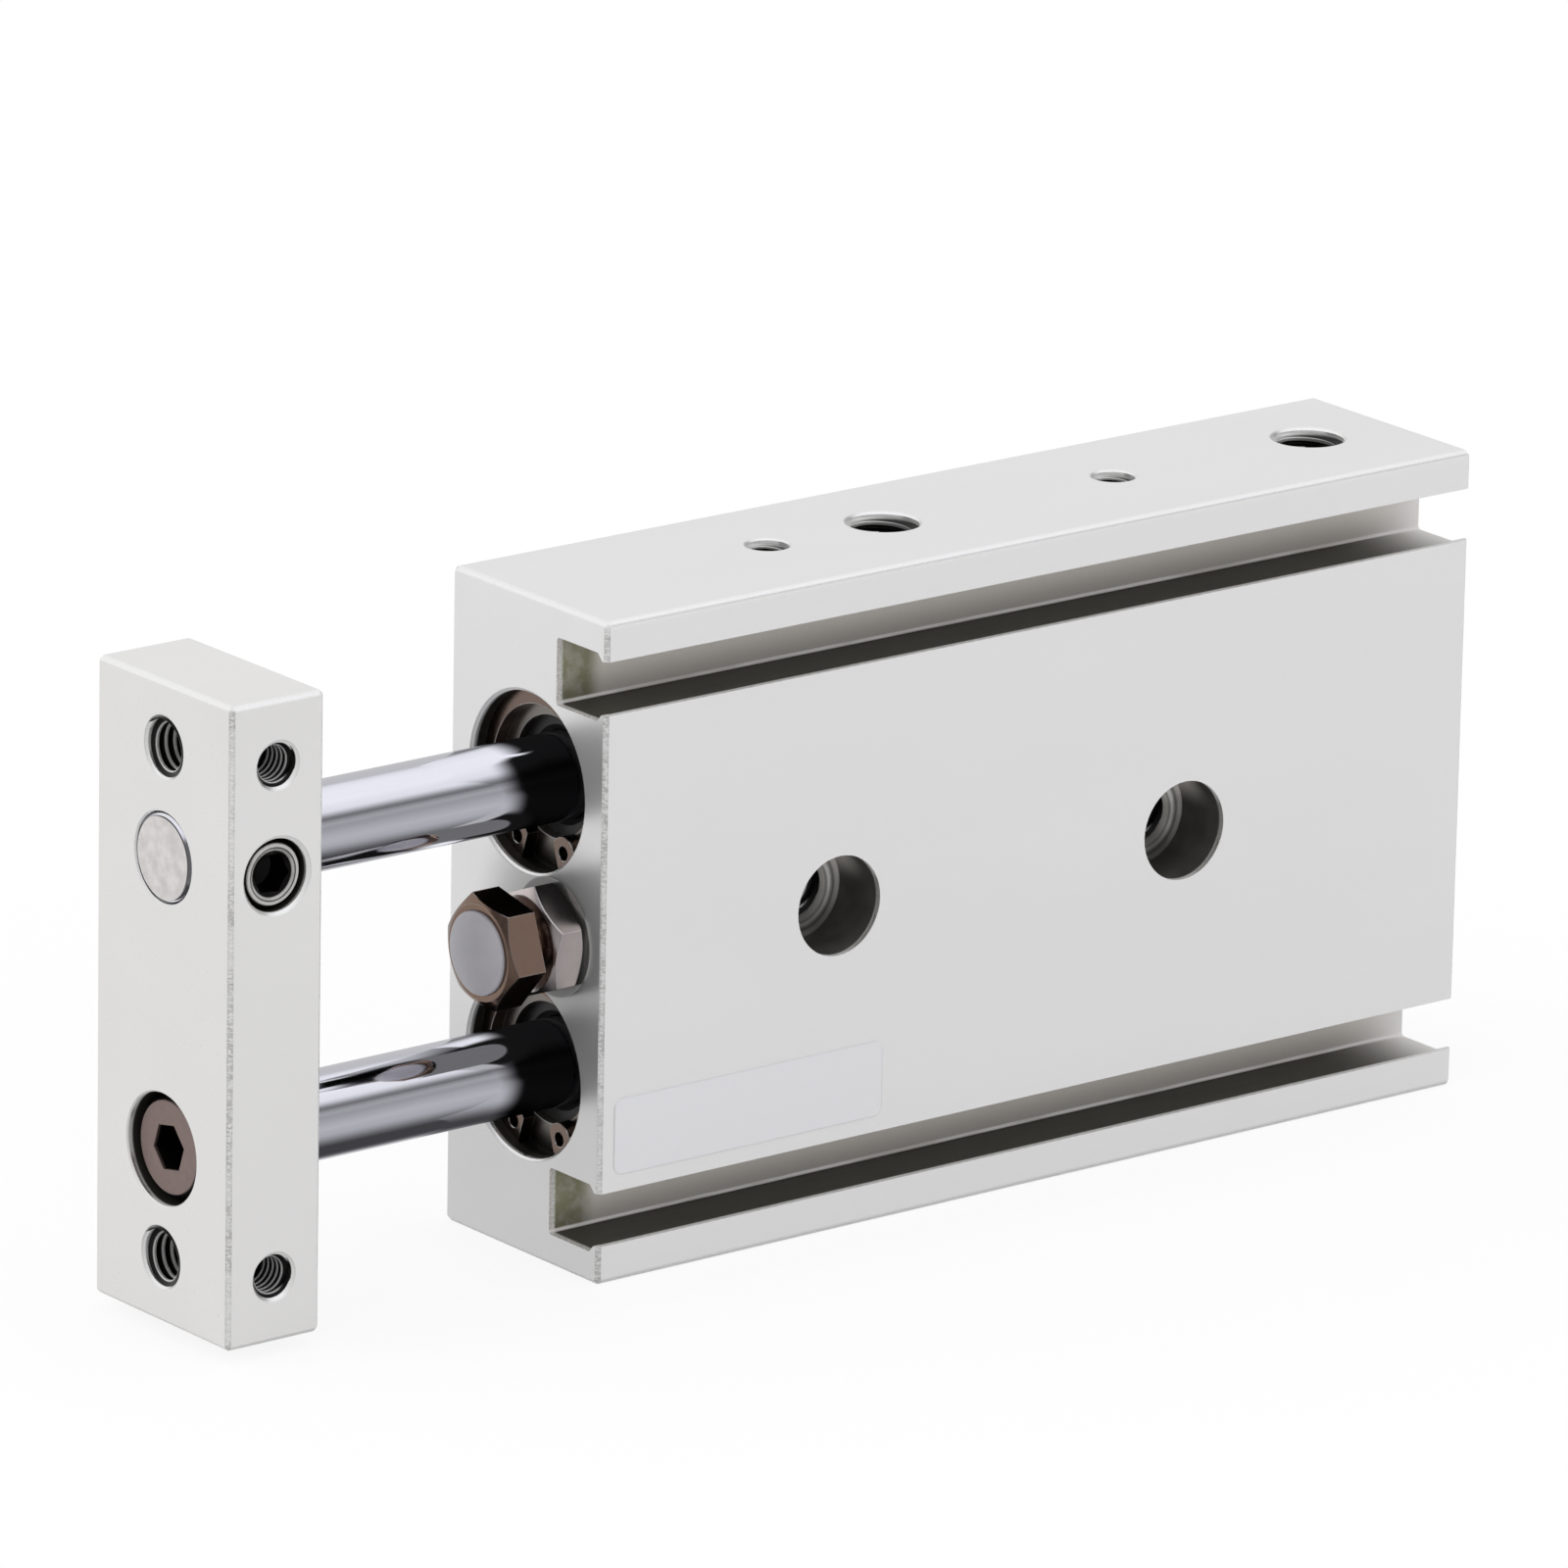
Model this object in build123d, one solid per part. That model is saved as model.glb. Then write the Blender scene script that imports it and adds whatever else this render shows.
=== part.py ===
from build123d import *

import os
from math import cos, radians, sin, tan

# A twin rod pneumatic cylinder with an adjustable retracting stop.
# A flat extruded aluminium bar stands on its narrow side and holds two bores, one above the other.
# Each bore has a gland at the rod end, a cover at the head end and a piston on a chromed rod,
# and both rods are fastened to one end plate, so the plate slides without turning.
# Lengths are in millimetres. While the pieces are made, X = 0 is the bar's rod end face, +X runs
# along the bores to the head end, Y = 0 is the middle of its depth and Z = 0 of its height.
# They are written with the origin on the back face, midway between the two mounting holes.
# The modelled pose has the rods out by rest_extension.

# Stroke
stroke = 20.0
rest_extension = 15.0

# Extruded bar
length_beyond_stroke = 55.0
body_depth = 17.0
body_corner = 0.5
end_chamfer = 0.3
bore = 10.0
bore_pitch = 20.0
bore_edge_distance = 13.0
pocket_step = 1.2
gland_pocket_depth = 12.0
cover_pocket_depth = 5.5
mouth_chamfer = 0.2

# Sensor slots in the front face, one near each long edge
slot_mouth = 3.7
slot_width = 4.7
slot_depth = 5.4
slot_lip = 0.5
slot_lip_slope = 0.45
slot_edge_distance = 4.55
slot_floor_radius = 0.3

# Mounting holes through the bar, from front to back
mount_hole_from_rod_end = 20.0
mount_hole_pitch = 30.0
mount_thread = 4.0
mount_head_sink = 7.0
mount_head_sink_depth = 4.4
mount_sink_mouth = 4.8

# Air ports and tapped holes in the top face, and the closed ports below
port_thread = 5.0
port_mouth = 5.4
port_floor = 1.3
port_offset = 0.5
rod_port_from_rod_end = 30.3
head_port_from_head_end = 7.2
air_passage = 2.5
top_thread = 3.0
top_thread_mouth = 3.3
top_thread_depth = 4.5
top_hole_from_rod_end = 20.4
top_hole_pitch = 30.0
plug_recess = 0.3
plug_end_space = 1.2
plug_hex = 2.5
plug_hex_depth = 1.7

# Rods and end plate
rod = 6.0
rod_hole_gap = 0.12
plate_thickness = 7.5
plate_depth = 15.0
plate_chamfer = 0.3
plate_end_margin = 4.5
retracted_gap = 7.2
face_thread = 4.0
face_thread_mouth = 4.4
face_hole_from_rod = 7.5
side_thread = 3.0
side_thread_mouth = 3.5
side_thread_depth = 3.6
drill_point_angle = 59.0
rod_seat_depth = 1.0
rod_end_chamfer = 0.15

# Screws of the end plate
cap_screw = 4.0
cap_screw_length = 12.0
cap_head = 7.0
cap_head_height = 4.0
cap_head_recess = 0.6
cap_head_sink = 7.7
cap_head_chamfer = 0.35
cap_hex = 3.0
cap_hex_depth = 2.2
cap_hex_turn = 19.0
cap_screw_clearance = 4.3
set_screw = 5.0
set_screw_mouth = 5.5
set_screw_recess = 0.48
set_screw_tip = 2.5
set_screw_chamfer = 0.4
set_screw_hex = 2.5
set_screw_hex_depth = 2.0
set_screw_hex_mouth = 3.6
set_screw_hex_turn = -25.0

# Retracting stop: a hexagon bolt with a urethane bumper in its head, locked by a nut
stop_thread = 4.0
stop_thread_root = 3.24
stop_offset = -3.0
stop_hole_depth = 12.0
stop_end_space = 1.0
hex_width = 7.0
nut_thickness = 2.4
nut_turn = 8.0
stop_head_height = 2.6
stop_head_turn = -19.0
stop_bumper = 5.7
stop_bumper_proud = 1.05
stop_bumper_rim = 0.25
stop_bumper_recess = 0.6
stop_gap = 0.05
hex_chamfer_angle = 30.0
hex_washer_face = 6.6

# Snap rings
ring_recess = 1.2
ring_thickness = 1.0
ring_groove_depth = 0.35
ring_groove_play = 0.1
ring_edge_gap = 0.05
ring_back_width = 1.4
ring_end_width = 0.9
ring_lug_angle = 29.0
ring_lug_centre_inset = 1.0
ring_lug_radius = 1.15
ring_lug_hole = 1.0
ring_gap_angle = 19.0

# Glands
retainer_thickness = 0.8
retainer_hole_step = 1.2
rod_seal_section = 1.55
rod_seal_length = 2.4
bush_wall = 1.0
bush_from_seal = 2.6
gland_web_clearance = 0.3
rod_bumper_length = 2.2
rod_bumper_proud = 1.4
rod_bumper_wall = 1.3
rod_bumper_clearance = 0.15
ring_seal_width = 1.3
ring_seal_groove = 1.6
ring_seal_groove_depth = 1.0
ring_seal_land = 2.0
ring_seal_edge = 0.3

# Head ends
cover_seal_land = 0.8
head_bumper = 6.5
head_bumper_length = 3.0
head_bumper_stem = 3.0
head_bumper_stem_length = 1.5

# Pistons
spigot = 4.0
spigot_end_space = 0.5
nose = 7.5
nose_length = 3.0
nose_recess = 1.0
piston_disc_length = 5.0
piston_groove_from_disc = 1.2
piston_seal_groove = 2.0
piston_seal_section = 1.3
piston_seal_lip = 0.4
magnet_length = 3.0
magnet_inset = 0.4
holder_length = 4.7
wear_ring_from_holder = 1.0
wear_ring_length = 2.6
wear_ring_section = 0.6
wear_ring_slit = 0.5
wear_ring_slit_angle = 30.0

# Clearances: press fits and seats in one body, screw threads, covers in their pockets, running fits
press_gap = 0.02
thread_gap = 0.05
cover_gap = 0.1
running_gap = 0.04
land_gap = 0.15
lip_gap = 0.04
axial_gap = 0.1

# Places that follow from these sizes
body_length = stroke + length_beyond_stroke
body_height = bore_pitch + 2 * bore_edge_distance
front_face = -body_depth / 2
back_face = body_depth / 2
top_face = body_height / 2
bore_heights = {"upper": bore_pitch / 2, "lower": -bore_pitch / 2}
pocket_radius = bore / 2 + pocket_step
port_depth = bore_edge_distance - pocket_radius - port_floor
plug_length = port_depth - plug_recess - plug_end_space
face_thread_pitch = bore_pitch + 2 * face_hole_from_rod
plate_height = face_thread_pitch + 2 * plate_end_margin
groove_radius = pocket_radius + ring_groove_depth
gland_face = ring_recess + ring_thickness + retainer_thickness
seal_groove_radius = pocket_radius - cover_gap - ring_seal_groove_depth
rod_port_x = rod_port_from_rod_end
head_port_x = body_length - head_port_from_head_end
gland_end = rod_port_x - air_passage / 2 - rod_bumper_proud - axial_gap
bush_start = gland_face + rod_seal_length + bush_from_seal
bush_end = gland_end - (rod_bumper_length - rod_bumper_proud)
bush_radius = rod / 2 + bush_wall
rod_bumper_end = bush_end + rod_bumper_length
cover_face = body_length - cover_pocket_depth
cover_back = body_length - ring_recess - ring_thickness
plate_inner = -retracted_gap - rest_extension
plate_outer = plate_inner - plate_thickness
plate_middle = plate_inner - plate_thickness / 2
nose_start = rod_bumper_end + axial_gap + stroke - rest_extension
disc_start = nose_start + nose_length
magnet_start = disc_start + piston_disc_length
holder_start = magnet_start + magnet_length
holder_end = holder_start + holder_length
rod_shoulder = nose_start + nose_recess
spigot_end = holder_end - spigot_end_space
land_radius = bore / 2 - land_gap
stop_head_front = -retracted_gap + stop_gap + stop_bumper_proud
stop_head_back = stop_head_front + stop_head_height
set_screw_length = plate_depth / 2 - set_screw_recess - rod / 2 - press_gap
mount_hole_places = [mount_hole_from_rod_end, mount_hole_from_rod_end + mount_hole_pitch]
top_hole_places = [top_hole_from_rod_end, top_hole_from_rod_end + top_hole_pitch]
port_places = [rod_port_x, head_port_x]
to_origin = Pos(-sum(mount_hole_places) / 2, -back_face, 0)


def turned(outline, z=0.0, y=0.0):
    """A solid of revolution about a line along X, from the corners (x, radius) of its half section."""
    return Pos(0, y, z) * revolve(make_face(Polyline(*outline, close=True)), Axis.X)


def bar_along_x(start, end, radius, z=0.0, y=0.0):
    """A round bar along X between two places."""
    return turned([(start, 0), (start, radius), (end, radius), (end, 0)], z, y)


def ring_along_x(start, end, inner, outer, z):
    """A plain ring around a bore's axis."""
    return turned([(start, inner), (start, outer), (end, outer), (end, inner)], z)


def drilled(at, into, diameter, depth, mouth=0.0, point=False):
    """The material that a drill takes away: a round hole from a face, with a bevelled mouth and a drill point."""
    radius = diameter / 2
    bevel = max(mouth / 2 - radius, 0)
    section = [(0, 0), (radius + bevel, 0)]
    if bevel:
        section.append((radius, bevel))
    section.append((radius, depth))
    section.append((0, depth + (radius / tan(radians(drill_point_angle)) if point else 0)))
    hole = revolve(Plane.XZ * make_face(Polyline(*section, close=True)), Axis.Z)
    return Plane(origin=at, z_dir=into).location * hole


def hex_prism(start, end, width, turn, z=0.0, y=0.0):
    """A hexagonal prism along X. With no turn, one flat faces the front."""
    outline = RegularPolygon(width / 2, 6, major_radius=False, rotation=30 + turn)
    return Pos(start, y, z) * extrude(Plane.YZ * outline, end - start)


def hex_socket(at, into, width, depth, turn=0.0):
    """The material that a hexagon socket takes away, with the shallow cone of its drilled end."""
    place = Plane(origin=at, z_dir=into)
    socket = extrude(RegularPolygon(width / 2, 6, major_radius=False, rotation=turn), depth)
    socket += Pos(0, 0, depth) * Cone(width / 2, 0, width / 4, align=(Align.CENTER, Align.CENTER, Align.MIN))
    return place.location * socket


def chamfered_hexagon(start, end, turn, z, y, at_start, at_end):
    """A nut or a bolt head: a hexagonal prism whose corners are turned off at its faces."""
    corner = hex_width / 2 / cos(radians(30)) + axial_gap
    drop = (corner - hex_washer_face / 2) * tan(radians(hex_chamfer_angle))
    outline = [(start, 0), (start, hex_washer_face / 2 if at_start else corner)]
    if at_start:
        outline.append((start + drop, corner))
    if at_end:
        outline.append((end - drop, corner))
    outline += [(end, hex_washer_face / 2 if at_end else corner), (end, 0)]
    return hex_prism(start, end, hex_width, turn, z, y) & turned(outline, z, y)


def slot_cut():
    """The section of a sensor slot, drawn about the slot's middle with the front face at x = 0."""
    neck = slot_mouth / 2
    half = slot_width / 2
    wide_from = slot_lip + slot_lip_slope
    corners = [(-1, -neck), (slot_lip, -neck), (wide_from, -half), (slot_depth, -half)]
    corners += [(x, -height) for x, height in reversed(corners)]
    section = make_face(Polyline(*corners, close=True))
    floor = section.vertices().sort_by(Axis.X)[-2:]
    return fillet(floor, slot_floor_radius)


def housing():
    section = RectangleRounded(body_depth, body_height, body_corner)
    slot_height = top_face - slot_edge_distance
    for height in (slot_height, -slot_height):
        section -= Pos(front_face, height) * slot_cut()
    bar = extrude(Plane.YZ * section, body_length)
    ends = bar.faces().filter_by(Axis.X)
    rims = [edge for end in ends for edge in end.outer_wire().edges() if edge.length > slot_depth]
    bar = chamfer(rims, end_chamfer)
    for height in bore_heights.values():
        bar -= bar_along_x(0, body_length, bore / 2, height)
        bar -= gland_pocket(height)
        bar -= cover_pocket(height)
    sink_floor = front_face + mount_head_sink_depth
    for x in mount_hole_places:
        bar -= drilled((x, front_face, 0), (0, 1, 0), mount_head_sink, mount_head_sink_depth)
        bar -= drilled((x, sink_floor, 0), (0, 1, 0), mount_thread, body_depth, mount_sink_mouth)
        bar -= drilled((x, back_face, 0), (0, -1, 0), mount_thread, body_depth, mount_thread + 2 * mouth_chamfer)
    for x in port_places:
        bar -= drilled((x, port_offset, top_face), (0, 0, -1), port_thread, port_depth, port_mouth)
        bar -= drilled((x, port_offset, -top_face), (0, 0, 1), port_thread, port_depth, port_mouth)
        bar -= drilled((x, port_offset, top_face), (0, 0, -1), air_passage, body_height)
    for x in top_hole_places:
        bar -= drilled(
            (x, port_offset, top_face), (0, 0, -1), top_thread, top_thread_depth, top_thread_mouth, point=True
        )
    bar -= drilled(
        (0, stop_offset, 0), (1, 0, 0), stop_thread, stop_hole_depth, stop_thread + 2 * mouth_chamfer, point=True
    )
    return bar


def gland_pocket(height):
    """The stepped mouth at the rod end, with its snap ring groove."""
    return turned(pocket_section(gland_pocket_depth), height)


def cover_pocket(height):
    """The same mouth at the head end, turned about."""
    mirrored = [(body_length - x, radius) for x, radius in pocket_section(cover_pocket_depth)]
    return turned(mirrored, height)


def pocket_section(depth):
    """Half section of a pocket from its mouth inwards: bevel, wall, groove, wall."""
    groove_end = ring_recess + ring_thickness + ring_groove_play
    return [
        (0, 0),
        (0, pocket_radius + mouth_chamfer),
        (mouth_chamfer, pocket_radius),
        (ring_recess, pocket_radius),
        (ring_recess, groove_radius),
        (groove_end, groove_radius),
        (groove_end, pocket_radius),
        (depth, pocket_radius),
        (depth, 0),
    ]


def snap_ring(start, height):
    """An internal snap ring: wide at the back, narrow at its two ends, with a drilled lug at each."""
    outer = groove_radius - ring_edge_gap
    inner = outer - (ring_back_width + ring_end_width) / 2
    shift = (ring_back_width - ring_end_width) / 2
    blank = Circle(outer) - Pos(0, -shift) * Circle(inner)
    lug_centre = pocket_radius - ring_lug_centre_inset
    gap = []
    for side in (-1, 1):
        angle = radians(-90 + side * ring_lug_angle)
        place = Pos(lug_centre * cos(angle), lug_centre * sin(angle))
        blank += place * Circle(ring_lug_radius)
    blank = blank & Circle(outer)
    reach = 2 * outer
    for side in (-1, 1):
        angle = radians(-90 + side * ring_gap_angle)
        gap.append((reach * cos(angle), reach * sin(angle)))
    blank -= make_face(Polyline((0, 0), gap[0], gap[1], close=True))
    for side in (-1, 1):
        angle = radians(-90 + side * ring_lug_angle)
        blank -= Pos(lug_centre * cos(angle), lug_centre * sin(angle)) * Circle(ring_lug_hole / 2)
    return Pos(start, 0, height) * extrude(Plane.YZ * blank, ring_thickness)


def seal_retainer(height):
    """A thin washer between the snap ring and the gland that keeps the rod seal in."""
    start = ring_recess + ring_thickness
    return ring_along_x(start, gland_face, rod / 2 + retainer_hole_step, pocket_radius - cover_gap, height)


def rod_seal(height):
    """A lipped ring around the rod, hollow towards the pressure side."""
    inner = rod / 2 + lip_gap
    outer = rod / 2 + rod_seal_section - press_gap
    end = gland_face + rod_seal_length
    middle = (inner + outer) / 2
    lip = rod_seal_section / 4
    outline = [
        (gland_face, inner + lip),
        (gland_face, outer),
        (end, outer),
        (end - 2 * lip, middle),
        (end, inner),
        (gland_face + lip, inner),
    ]
    return turned(outline, height)


def gland(height):
    """The turned rod guide: a flange in the pocket, a nose in the bore, and a seat for the seal, bush and bumper."""
    flange = pocket_radius - cover_gap
    nose_radius = bore / 2 - cover_gap
    seal_seat = rod / 2 + rod_seal_section
    web = rod / 2 + gland_web_clearance
    bush_seat = bush_radius + press_gap
    groove_end = gland_pocket_depth - ring_seal_land
    groove_start = groove_end - ring_seal_groove
    outline = [
        (gland_face, seal_seat),
        (gland_face, flange),
        (groove_start, flange),
        (groove_start, seal_groove_radius),
        (groove_end, seal_groove_radius),
        (groove_end, flange),
        (gland_pocket_depth, flange),
        (gland_pocket_depth, nose_radius),
        (gland_end, nose_radius),
        (gland_end, rod / 2 + rod_bumper_wall + press_gap),
        (bush_end, rod / 2 + rod_bumper_wall + press_gap),
        (bush_end, bush_seat),
        (bush_start, bush_seat),
        (bush_start, web),
        (gland_face + rod_seal_length, web),
        (gland_face + rod_seal_length, seal_seat),
    ]
    return turned(outline, height)


def gland_bush(height):
    return ring_along_x(bush_start, bush_end, rod / 2 + running_gap, bush_radius, height)


def rounded_ring(start, height):
    """A static sealing ring, flattened as it lies squeezed in its groove."""
    inner = seal_groove_radius + press_gap
    outer = pocket_radius - press_gap
    middle = (inner + outer) / 2
    end = start + ring_seal_width
    outline = [
        (start, middle),
        (start + ring_seal_edge, outer),
        (end - ring_seal_edge, outer),
        (end, middle),
        (end - ring_seal_edge, inner),
        (start + ring_seal_edge, inner),
    ]
    return turned(outline, height)


def rod_side_bumper(height):
    """A urethane ring half sunk in the gland's inner face, which the piston meets at full stroke."""
    return ring_along_x(
        bush_end, rod_bumper_end, rod / 2 + rod_bumper_clearance, rod / 2 + rod_bumper_wall, height
    )


def head_cover(height):
    """The turned disc that closes a bore at the head end."""
    flange = pocket_radius - cover_gap
    groove_start = cover_face + cover_seal_land
    groove_end = groove_start + ring_seal_groove
    stem_end = cover_face + head_bumper_stem_length + axial_gap
    stem_seat = head_bumper_stem / 2 + press_gap
    outline = [
        (cover_face, stem_seat),
        (cover_face, flange),
        (groove_start, flange),
        (groove_start, seal_groove_radius),
        (groove_end, seal_groove_radius),
        (groove_end, flange),
        (cover_back, flange),
        (cover_back, 0),
        (stem_end, 0),
        (stem_end, stem_seat),
    ]
    return turned(outline, height)


def head_side_bumper(height):
    """A urethane button whose stem is pushed into the head cover."""
    stem = head_bumper_stem / 2
    start = cover_face - head_bumper_length
    edge = ring_seal_edge
    outline = [
        (start, 0),
        (start, head_bumper / 2 - edge),
        (start + edge, head_bumper / 2),
        (cover_face, head_bumper / 2),
        (cover_face, stem),
        (cover_face + head_bumper_stem_length, stem),
        (cover_face + head_bumper_stem_length, 0),
    ]
    return turned(outline, height)


def port_plugs():
    """Two headless hexagon socket plugs that close the lower ports."""
    plugs = []
    start = -top_face + plug_recess
    for x in port_places:
        plug = Pos(x, port_offset, start) * Cylinder(
            port_thread / 2 - thread_gap, plug_length, align=(Align.CENTER, Align.CENTER, Align.MIN)
        )
        plugs.append(plug - hex_socket((x, port_offset, start), (0, 0, 1), plug_hex, plug_hex_depth))
    return plugs


def stop_bolt():
    """The stop bolt: its shank is in the bar, and its head takes the bumper's stem."""
    head = chamfered_hexagon(
        stop_head_front, stop_head_back, stop_head_turn, 0, stop_offset, at_start=True, at_end=False
    )
    shank_end = stop_hole_depth - stop_end_space
    neck = bar_along_x(stop_head_back, -nut_thickness, stop_thread_root / 2, 0, stop_offset)
    shank = bar_along_x(-nut_thickness, shank_end, stop_thread / 2 - thread_gap, 0, stop_offset)
    seat = bar_along_x(
        stop_head_front, stop_head_front + stop_bumper_recess, stop_bumper / 2 + press_gap, 0, stop_offset
    )
    return head + neck + shank - seat


def stop_bolt_nut():
    nut = chamfered_hexagon(-nut_thickness, 0, nut_turn, 0, stop_offset, at_start=True, at_end=True)
    return nut - bar_along_x(-nut_thickness, 0, stop_thread / 2, 0, stop_offset)


def stop_bolt_bumper():
    """A low dome of urethane, sunk in the bolt's head."""
    tip = stop_head_front - stop_bumper_proud
    base = stop_head_front + stop_bumper_recess
    rise = stop_bumper_proud - stop_bumper_rim
    radius = stop_bumper / 2
    dome_radius = (radius**2 + rise**2) / (2 * rise)
    button = bar_along_x(tip, base, radius, 0, stop_offset)
    return button & Pos(tip + dome_radius, stop_offset, 0) * Sphere(dome_radius)


def end_plate():
    """The plate that ties the rods together and takes the load, with tapped holes on its face and front side."""
    plate = Pos(plate_middle, 0, 0) * Box(plate_thickness, plate_depth, plate_height)
    plate = chamfer(plate.edges(), plate_chamfer)
    face_holes = face_thread_pitch / 2
    for z in (face_holes, -face_holes):
        for x, into in ((plate_outer, (1, 0, 0)), (plate_inner, (-1, 0, 0))):
            plate -= drilled((x, 0, z), into, face_thread, plate_thickness, face_thread_mouth)
        plate -= drilled(
            (plate_middle, -plate_depth / 2, z), (0, 1, 0), side_thread, side_thread_depth, side_thread_mouth,
            point=True,
        )
    rod_hole = rod + 2 * rod_hole_gap
    rod_seat = rod + 2 * thread_gap
    upper = bore_heights["upper"]
    lower = bore_heights["lower"]
    plate -= drilled((plate_outer, 0, upper), (1, 0, 0), rod_hole, plate_thickness, rod_hole + mouth_chamfer)
    plate -= drilled(
        (plate_middle, -plate_depth / 2, upper), (0, 1, 0), set_screw, plate_depth / 2, set_screw_mouth
    )
    plate -= drilled((plate_inner, 0, lower), (-1, 0, 0), rod_seat, rod_seat_depth)
    plate -= drilled((plate_inner, 0, lower), (-1, 0, 0), cap_screw_clearance, plate_thickness)
    sink_depth = cap_head_height + cap_head_recess
    plate -= drilled(
        (plate_outer, 0, lower), (1, 0, 0), cap_head_sink, sink_depth, cap_head_sink + mouth_chamfer
    )
    return plate


def rod_outline(start):
    """Half section of a rod from its plate end to the spigot that carries the piston."""
    radius = rod / 2
    return [
        (start, radius - rod_end_chamfer),
        (start + rod_end_chamfer, radius),
        (rod_shoulder, radius),
        (rod_shoulder, spigot / 2),
        (spigot_end, spigot / 2),
        (spigot_end, 0),
    ]


def upper_piston_rod():
    """The upper rod passes through the plate and ends flush with its outer face."""
    return turned([(plate_outer, 0)] + rod_outline(plate_outer), bore_heights["upper"])


def lower_piston_rod():
    """The lower rod is seated in the plate's inner face and tapped for the cap screw."""
    start = plate_inner - rod_seat_depth
    hole = cap_screw / 2
    screw_end = plate_outer + cap_head_recess + cap_head_height + cap_screw_length
    hole_end = screw_end + stop_end_space
    drill_point = hole_end + hole / tan(radians(drill_point_angle))
    outline = [(drill_point, 0), (hole_end, hole), (start, hole)] + rod_outline(start)
    return turned(outline, bore_heights["lower"])


def rod_cap_screw():
    """The socket head cap screw that holds the lower rod."""
    face = plate_outer + cap_head_recess
    seat = face + cap_head_height
    shank = cap_screw / 2 - thread_gap
    edge = cap_head_chamfer
    outline = [
        (face, 0),
        (face, cap_head / 2 - edge),
        (face + edge, cap_head / 2),
        (seat, cap_head / 2),
        (seat, shank),
        (seat + cap_screw_length, shank),
        (seat + cap_screw_length, 0),
    ]
    lower = bore_heights["lower"]
    socket = hex_socket((face, 0, lower), (1, 0, 0), cap_hex, cap_hex_depth, cap_hex_turn)
    return turned(outline, lower) - socket


def rod_set_screw():
    """The headless screw in the plate's front side that clamps the upper rod."""
    upper = bore_heights["upper"]
    face = set_screw_recess - plate_depth / 2
    radius = set_screw / 2 - thread_gap
    bevel = radius - set_screw_tip / 2
    section = [
        (0, 0),
        (radius - set_screw_chamfer, 0),
        (radius, set_screw_chamfer),
        (radius, set_screw_length - bevel),
        (set_screw_tip / 2, set_screw_length),
        (0, set_screw_length),
    ]
    body = revolve(Plane.XZ * make_face(Polyline(*section, close=True)), Axis.Z)
    mouth = set_screw_hex_mouth / 2
    hex_half = set_screw_hex / 2
    mouth_depth = (mouth - hex_half) * tan(radians(hex_chamfer_angle))
    body -= Cone(mouth, hex_half, mouth_depth, align=(Align.CENTER, Align.CENTER, Align.MIN))
    at = (plate_middle, face, upper)
    socket = hex_socket(at, (0, 1, 0), set_screw_hex, set_screw_hex_depth, set_screw_hex_turn)
    return Plane(origin=at, z_dir=(0, 1, 0)).location * body - socket


def piston(height):
    """The front half of a piston: a cushion nose and a disc with the seal's groove."""
    groove_start = disc_start + piston_groove_from_disc
    groove_end = groove_start + piston_seal_groove
    groove = bore / 2 - piston_seal_section
    hole = spigot / 2 + press_gap
    recess = rod / 2 + press_gap
    outline = [
        (nose_start, recess),
        (nose_start, nose / 2),
        (disc_start, nose / 2),
        (disc_start, land_radius),
        (groove_start, land_radius),
        (groove_start, groove),
        (groove_end, groove),
        (groove_end, land_radius),
        (magnet_start, land_radius),
        (magnet_start, hole),
        (rod_shoulder, hole),
        (rod_shoulder, recess),
    ]
    return turned(outline, height)


def piston_seal(height):
    """A two-lipped seal in the piston's groove."""
    start = disc_start + piston_groove_from_disc + axial_gap
    end = start + piston_seal_groove - 2 * axial_gap
    outer = bore / 2 - lip_gap
    inner = bore / 2 - piston_seal_section + press_gap
    middle = (start + end) / 2
    outline = [(start, inner), (start, outer), (middle, outer - piston_seal_lip), (end, outer), (end, inner)]
    return turned(outline, height)


def magnet(height):
    hole = spigot / 2 + press_gap
    return ring_along_x(magnet_start, holder_start, hole, bore / 2 - magnet_inset, height)


def magnet_holder(height):
    """The rear half of a piston, screwed on the spigot behind the magnet."""
    groove_start = holder_start + wear_ring_from_holder
    groove_end = groove_start + wear_ring_length + axial_gap
    groove = bore / 2 - wear_ring_section
    hole = spigot / 2 + press_gap
    outline = [
        (holder_start, hole),
        (holder_start, land_radius),
        (groove_start, land_radius),
        (groove_start, groove),
        (groove_end, groove),
        (groove_end, land_radius),
        (holder_end, land_radius),
        (holder_end, hole),
    ]
    return turned(outline, height)


def wear_ring(height):
    """The slit guide ring that carries the piston in the bore."""
    start = holder_start + wear_ring_from_holder
    inner = bore / 2 - wear_ring_section + press_gap
    band = ring_along_x(start, start + wear_ring_length, inner, bore / 2 - lip_gap, height)
    slit = Box(3 * wear_ring_length, wear_ring_slit, bore)
    middle = start + wear_ring_length / 2
    return band - Pos(middle, 0, height + bore / 2) * Rot(0, 0, 90 - wear_ring_slit_angle) * slit


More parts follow.
